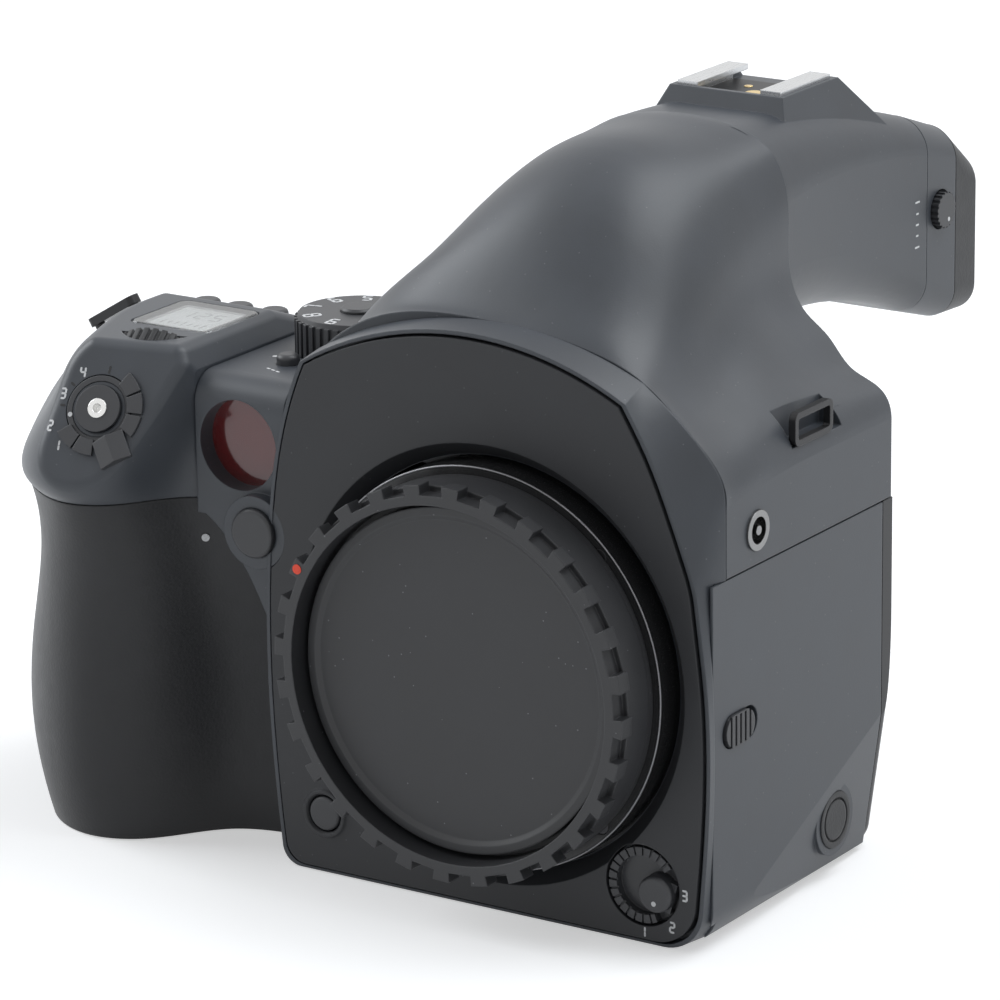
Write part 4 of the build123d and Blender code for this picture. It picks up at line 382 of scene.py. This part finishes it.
# A lighter copy of the mount's steel for the mount's real outer edge: its brightness is a painted
# highlight.
painted_highlight_steel = metal("painted_highlight_steel", (0.20, 0.20, 0.21), 0.28)
shoe_steel = metal("shoe_steel", (0.66, 0.67, 0.68), 0.28, along=(1, 0.08, 1))
screw_steel = metal("screw_steel", (0.08, 0.08, 0.085), 0.34)
chrome = metal("chrome", (0.26, 0.26, 0.26), 0.24)
bright_chrome = metal("bright_chrome", (0.82, 0.82, 0.81), 0.16)
gold = metal("gold", (0.83, 0.61, 0.25), 0.25)
aluminium = metal("aluminium", (0.55, 0.56, 0.57), 0.38, along=(0.1, 1, 1))
clear_glass = glass("clear_glass", (0.93, 0.95, 0.96))
red_glass = glass("red_glass", (0.20, 0.010, 0.012), rough=0.12, transmission=0.35, coat=0.6)
prism_glass = glass("prism_glass", (0.90, 0.94, 0.95))
mirror_coat = metal("mirror", (0.9, 0.9, 0.9), 0.03, depth=0.0004)
display = moulded("display", (0.40, 0.42, 0.41), 0.35, depth=0.002, wear_and_highlight_amount=0.0)
board_green = moulded("board_green", (0.02, 0.09, 0.035), 0.4)
cell_wrap = moulded("cell", (0.05, 0.16, 0.30), 0.3, depth=0.004)
white_ink = printed("white_ink", (0.80, 0.80, 0.80))
red_ink = printed("red_ink", (0.95, 0.085, 0.04))
dark_ink = printed("dark_ink", (0.012, 0.012, 0.013), 0.6)
shoe_black = moulded("shoe_black", (0.012, 0.012, 0.013), 0.45)

# The finish of each material slot in the record.
FINISH = {
    "body_black": body_black,
    "plate_black": plate_black,
    "grip_rubber": grip_rubber,
    "cap_black": cap_black,
    "button_black": button_black,
    "black_metal": black_metal,
    "mount_steel": mount_steel,
    "shoe_steel": shoe_steel,
    "screw_steel": screw_steel,
    "chrome": chrome,
    "gold": gold,
    "aluminium": aluminium,
    "mirror": mirror_coat,
    "clear_glass": clear_glass,
    "red_glass": red_glass,
    "prism_glass": prism_glass,
    "display": display,
    "board_green": board_green,
    "cell": cell_wrap,
}
for piece in frame["record"]["subparts"]:
    node = nodes[piece["node"]]
    node.data.materials.clear()
    node.data.materials.append(FINISH[piece["material_slot"]])
nodes["release_bush"].data.materials[0] = bright_chrome


# Marks and small trim. Each mark lies where a ray first meets the CAD node that carries it.
bpy.context.view_layer.update()
FORWARDS, BACKWARDS = Vector((0, -1, 0)), Vector((0, 1, 0))
LEFT, DOWN = Vector((-1, 0, 0)), Vector((0, 0, -1))
ALONG_X, ALONG_Y = Vector((1, 0, 0)), Vector((0, 1, 0))
# How far ink stands out of its ground, and how far its mesh reaches into it, in millimetres.
INK_THICK, INK_SUNK = 0.035, 0.02


def joined(shape, rings, closed=False):
    """Faces between each ring of corners and the next one."""
    pairs = list(zip(rings, rings[1:]))
    if closed:
        pairs.append((rings[-1], rings[0]))
    for ring, after in pairs:
        for j in range(len(ring)):
            k = (j + 1) % len(ring)
            shape.faces.new((ring[j], after[j], after[k], ring[k]))


def placed(name, shape, body, paint, smooth=False):
    """An object with a shape's mesh and one paint, which rides on a body."""
    mesh = bpy.data.meshes.new(name)
    shape.to_mesh(mesh)
    shape.free()
    for face in mesh.polygons:
        face.use_smooth = smooth
    mesh.materials.append(paint)
    thing = bpy.data.objects.new(name, mesh)
    bpy.context.scene.collection.objects.link(thing)
    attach(thing, body)


def disc(radius, count=20):
    """The outline of a disc in millimetres."""
    angles = [math.tau * i / count for i in range(count)]
    return [(radius * math.cos(a), radius * math.sin(a)) for a in angles]


def bar(length, width, count=6):
    """The outline of a bar with round ends in millimetres, along x."""
    reach = (length - width) / 2
    half_turn = [math.pi * i / count - math.pi / 2 for i in range(count + 1)]
    right_end = [(reach + width / 2 * math.cos(a), width / 2 * math.sin(a)) for a in half_turn]
    return right_end + [(-x, -y) for x, y in right_end]


# Each stroke of a figure: its middle across and up, in halves of the height, and whether it stands.
STROKES = {
    "top": (0, 1, False),
    "middle": (0, 0, False),
    "foot": (0, -1, False),
    "left_high": (-0.5, 0.5, True),
    "left_low": (-0.5, -0.5, True),
    "right_high": (0.5, 0.5, True),
    "right_low": (0.5, -0.5, True),
}
FIGURES = {
    "1": ("right_high", "right_low"),
    "2": ("top", "right_high", "middle", "left_low", "foot"),
    "3": ("top", "right_high", "middle", "right_low", "foot"),
    "4": ("left_high", "middle", "right_high", "right_low"),
    "5": ("top", "left_high", "middle", "right_low", "foot"),
    "6": ("top", "left_high", "left_low", "middle", "right_low", "foot"),
    "7": ("top", "right_high", "right_low"),
    "8": ("top", "left_high", "left_low", "middle", "right_high", "right_low", "foot"),
    "9": ("top", "left_high", "middle", "right_high", "right_low", "foot"),
}


def figure_strokes(figure, height, width, gap):
    """The outlines of a figure's strokes around its middle, in millimetres."""
    outlines = []
    for stroke in FIGURES[figure]:
        across, upwards, stands = STROKES[stroke]
        outline = bar(height / 2 - gap, width)
        if stands:
            outline = [(-y, x) for x, y in outline]
        outlines.append([(x + across * height / 2, y + upwards * height / 2) for x, y in outline])
    return outlines


class Marks:
    """Marks of one ink that share a mesh and ride on one body."""

    def __init__(self, name, body, ink):
        self.name, self.body, self.ink = name, body, ink
        self.shape = bmesh.new()

    def add(self, node, start, look, across, outline, thick=INK_THICK):
        """An outline laid on a node where a ray lands, with its x along across."""
        hit, place, normal, _ = nodes[node].ray_cast(start, look)
        if not hit:
            raise ValueError(f"{self.name} misses {node}")
        x = (across - normal * across.dot(normal)).normalized()
        y = normal.cross(x)
        ground = [place + (x * u + y * v - normal * INK_SUNK) * MM for u, v in outline]
        low = [self.shape.verts.new(corner) for corner in ground]
        high = [self.shape.verts.new(corner + normal * (thick + INK_SUNK) * MM) for corner in ground]
        self.shape.faces.new(high)
        self.shape.faces.new(low[::-1])
        joined(self.shape, [high, low])

    def write(self, node, start, look, across, figure, height=1.7, width=0.36, gap=0, thick=INK_THICK):
        """A figure laid on a node."""
        for outline in figure_strokes(figure, height, width, gap):
            self.add(node, start, look, across, outline, thick)

    def done(self):
        """The marks as one object."""
        placed(self.name, self.shape, self.body, self.ink)


def turned(name, body, paint, centre, axis, profile, steps):
    """A ring turned round an axis: its profile is (radius, height along the axis) in millimetres."""
    spin = axis.to_track_quat("Z", "Y")
    shape = bmesh.new()
    rings = []
    for i in range(steps):
        angle = math.tau * i / steps
        rings.append([
            shape.verts.new(centre + spin @ Vector((r * math.cos(angle), r * math.sin(angle), h)) * MM)
            for r, h in profile
        ])
    joined(shape, rings, closed=True)
    bmesh.ops.recalc_face_normals(shape, faces=shape.faces)
    placed(name, shape, body, paint, smooth=True)


# The head's slanted face, from the same turn and tilt as the CAD.
FACE_TURN, FACE_TILT = math.radians(12), math.radians(28)
FACE_CENTRE = at(-75, -5.5, 77.8)
FACE_LIFT = 0.01
FACE_OUT = Vector((
    math.cos(FACE_TILT) * math.sin(FACE_TURN),
    -math.cos(FACE_TILT) * math.cos(FACE_TURN),
    math.sin(FACE_TILT),
))
FACE_X = Vector((math.cos(FACE_TURN), math.sin(FACE_TURN), 0))
FACE_Y = FACE_OUT.cross(FACE_X)


def round_face(degrees):
    """The direction away from the shutter button at an angle."""
    angle = math.radians(degrees)
    return FACE_X * math.cos(angle) + FACE_Y * math.sin(angle)


def on_face(radius, degrees):
    """A point above the head's face, at a radius and an angle around the shutter button."""
    return FACE_CENTRE + round_face(degrees) * radius * MM + FACE_OUT * FACE_LIFT


# Around the drive lever: dark ticks that start at one radius, figures, and the lever's own dot.
STOP_START, STOP_WIDTH = 6.3, 0.42
stops = Marks("face_stops", "body", dark_ink)
for angle, length in ((84, 1.4), (145, 1.0), (179, 1.0)):
    start = on_face(STOP_START + length / 2, angle)
    stops.add("grip_head", start, -FACE_OUT, round_face(angle), bar(length, STOP_WIDTH))
stops.done()

modes = Marks("face_marks", "body", white_ink)
for figure, radius, angle in (("4", 7.4, 124), ("3", 7.4, 163), ("2", 9.2, -157), ("1", 9.6, -134)):
    modes.write("grip_head", on_face(radius, angle), -FACE_OUT, FACE_X, figure)
modes.done()

lever_dot = Marks("lever_dot", "drive_lever", white_ink)
lever_dot.add("drive_lever", on_face(5.3, -165), -FACE_OUT, FACE_X, disc(0.42))
lever_dot.done()

# The deck: a dashed white line and a dot. The mode dial: a ring of figures.
ABOVE_DECK, ABOVE_DIAL = 90, 99
DASH_STEP_X, DASH_STEP_DEPTH = 1.25, -0.45
deck = Marks("deck_marks", "body", white_ink)
for i in range(3):
    dash = at(-52.0 + DASH_STEP_X * i, 12.2 + DASH_STEP_DEPTH * i, ABOVE_DECK)
    deck.add("front_frame", dash, DOWN, Vector((DASH_STEP_X, DASH_STEP_DEPTH, 0)), bar(0.95, 0.4))
deck.add("front_frame", at(-55.6, 19.2, ABOVE_DECK), DOWN, ALONG_X, disc(0.5))
deck.done()

DIAL_X, DIAL_DEPTH, DIAL_RING = -45.6, 30.0, 8.3
DIAL_FIRST, DIAL_STEP = -47, 40
dial_marks = Marks("dial_marks", "mode_dial", white_ink)
for i, figure in enumerate("123456789"):
    angle = math.radians(DIAL_FIRST + DIAL_STEP * i)
    around = Vector((math.sin(angle), -math.cos(angle), 0))
    spot = at(DIAL_X + DIAL_RING * math.cos(angle), DIAL_DEPTH + DIAL_RING * math.sin(angle), ABOVE_DIAL)
    dial_marks.write("mode_dial", spot, DOWN, around, figure, height=2.8, width=0.5)
dial_marks.done()

# The front plate: figures around the focus lever and its dot. The body cap: its red index dot.
BEFORE_PLATE, BEFORE_CAP = -9, -25
focus_marks = Marks("focus_marks", "body", white_ink)
for figure, x, z in (("1", 29.9, 2.1), ("2", 35.6, 3.9), ("3", 38.0, 9.9)):
    focus_marks.write("front_plate", at(x, BEFORE_PLATE, z), BACKWARDS, ALONG_X, figure)
focus_marks.done()

focus_dot = Marks("focus_dot", "focus_lever", white_ink)
focus_dot.add("focus_mode_lever", at(32.8, BEFORE_PLATE, 7.9), BACKWARDS, ALONG_X, disc(0.45))
focus_dot.done()

INDEX_ANGLE, INDEX_RING = math.radians(151.9), 33.1
index_x = INDEX_RING * math.cos(INDEX_ANGLE)
index_z = LENS_Z + INDEX_RING * math.sin(INDEX_ANGLE)
cap_dot = Marks("cap_index", "cap", red_ink)
cap_dot.add("body_cap", at(index_x, BEFORE_CAP, index_z), BACKWARDS, ALONG_X, disc(0.85), thick=0.12)
cap_dot.done()

# The finder: five strokes beside the focus dial, which has a dot of its own.
BESIDE_FINDER = 30
finder_marks = Marks("finder_marks", "body", white_ink)
for z, length in ((101.0, 1.6), (98.9, 0.9), (96.9, 1.1), (94.9, 0.9), (92.8, 1.6)):
    finder_marks.add("prism_housing", at(BESIDE_FINDER, 110.6, z), LEFT, ALONG_Y, bar(length, 0.35))
finder_marks.done()

diopter_dot = Marks("diopter_dot", "diopter", white_ink)
diopter_dot.add("diopter_dial", at(BESIDE_FINDER, 119.8, 96.2), LEFT, ALONG_Y, disc(0.4))
diopter_dot.done()

# The lamp on the grip's shoulder.
grip_lamp = Marks("grip_lamp", "body", white_ink)
grip_lamp.add("grip_shell", at(-61.4, -20, 54.2), BACKWARDS, ALONG_X, disc(0.7), thick=0.2)
grip_lamp.done()

# The display: three figures of seven strokes, and a row of bars below them.
WINDOW_X, WINDOW_DEPTH, ABOVE_WINDOW = -72.95, 20.0, 95
FIGURE_STEP, SEGMENT_STEP, SEGMENT_THICK = 3.2, 1.4, 0.02
segments = Marks("display_segments", "body", dark_ink)
for i, figure in enumerate("125"):
    spot = at(WINDOW_X + (i - 1) * FIGURE_STEP, WINDOW_DEPTH + 2.2, ABOVE_WINDOW)
    segments.write("lcd_panel", spot, DOWN, ALONG_X, figure, height=3.6, width=0.4, gap=0.25,
                   thick=SEGMENT_THICK)
for i in range(7):
    spot = at(WINDOW_X + (i - 3) * SEGMENT_STEP, WINDOW_DEPTH - 3.6, ABOVE_WINDOW)
    length = 1.6 if i % 3 else 2.4
    segments.add("lcd_panel", spot, DOWN, ALONG_Y, bar(length, 0.35), thick=SEGMENT_THICK)
segments.done()

# The mount's outer edge, a thin steel ring painted lighter than the mount as a painted highlight, and
# the black plate between the shoe's rails.
MOUNT_HIGHLIGHT_RING = [(34.55, -0.3), (34.92, -0.3), (34.92, -0.02), (34.78, 0.06), (34.55, 0.06)]
turned("mount_edge_highlight", "body", painted_highlight_steel, at(0, -2.1, LENS_Z), FORWARDS, MOUNT_HIGHLIGHT_RING, steps=128)

RAIL, SHOE_MARGIN, ABOVE_SHOE = 1.1, 0.1, 10
shoe_low, shoe_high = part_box("hot_shoe")
shoe_half = (shoe_high[0] - shoe_low[0]) / 2 / MM - RAIL
shoe_reach = (shoe_high[1] - shoe_low[1]) / 2 / MM - SHOE_MARGIN
shoe_spot = (shoe_low + shoe_high) / 2
shoe_spot.z = shoe_high[2] + ABOVE_SHOE * MM
shoe_corners = [(-1, -1), (1, -1), (1, 1), (-1, 1)]
shoe_floor = Marks("shoe_floor", "body", shoe_black)
shoe_floor.add("hot_shoe", shoe_spot, DOWN, ALONG_X,
               [(u * shoe_half, v * shoe_reach) for u, v in shoe_corners], thick=0.1)
shoe_floor.done()

# A gasket in the seam under the grip's head, which keeps light from showing through it. Its
# outline comes from rays that meet the shell's wall from outside.
HUB_X, HUB_DEPTH, SEAM_Z = -84, 26, 61.6
SEAM_FROM, SEAM_TO, SEAM_STEPS = 57, 316, 150
RAY_DROP, RAY_REACH = 0.3, 80
OUTER, INNER, HALF_HIGH = 0.2, 2.0, 0.12
GASKET = ((OUTER, -HALF_HIGH), (OUTER, HALF_HIGH), (INNER, HALF_HIGH), (INNER, -HALF_HIGH))
gasket_shape = bmesh.new()
sections = []
for i in range(SEAM_STEPS + 1):
    angle = math.radians(SEAM_FROM + (SEAM_TO - SEAM_FROM) * i / SEAM_STEPS)
    outward = Vector((math.cos(angle), math.sin(angle), 0))
    start = at(HUB_X, HUB_DEPTH, SEAM_Z - RAY_DROP) + outward * RAY_REACH * MM
    _, place, normal, _ = nodes["grip_shell"].ray_cast(start, -outward)
    inward = Vector((-normal.x, -normal.y, 0)).normalized()
    place.z = SEAM_Z * MM
    sections.append([
        gasket_shape.verts.new(place + (inward * reach + Vector((0, 0, rise))) * MM)
        for reach, rise in GASKET
    ])
joined(gasket_shape, sections)
gasket_shape.faces.new(sections[0])
gasket_shape.faces.new(sections[-1][::-1])
bmesh.ops.recalc_face_normals(gasket_shape, faces=gasket_shape.faces)
placed("seam_gasket", gasket_shape, "body", shoe_black)
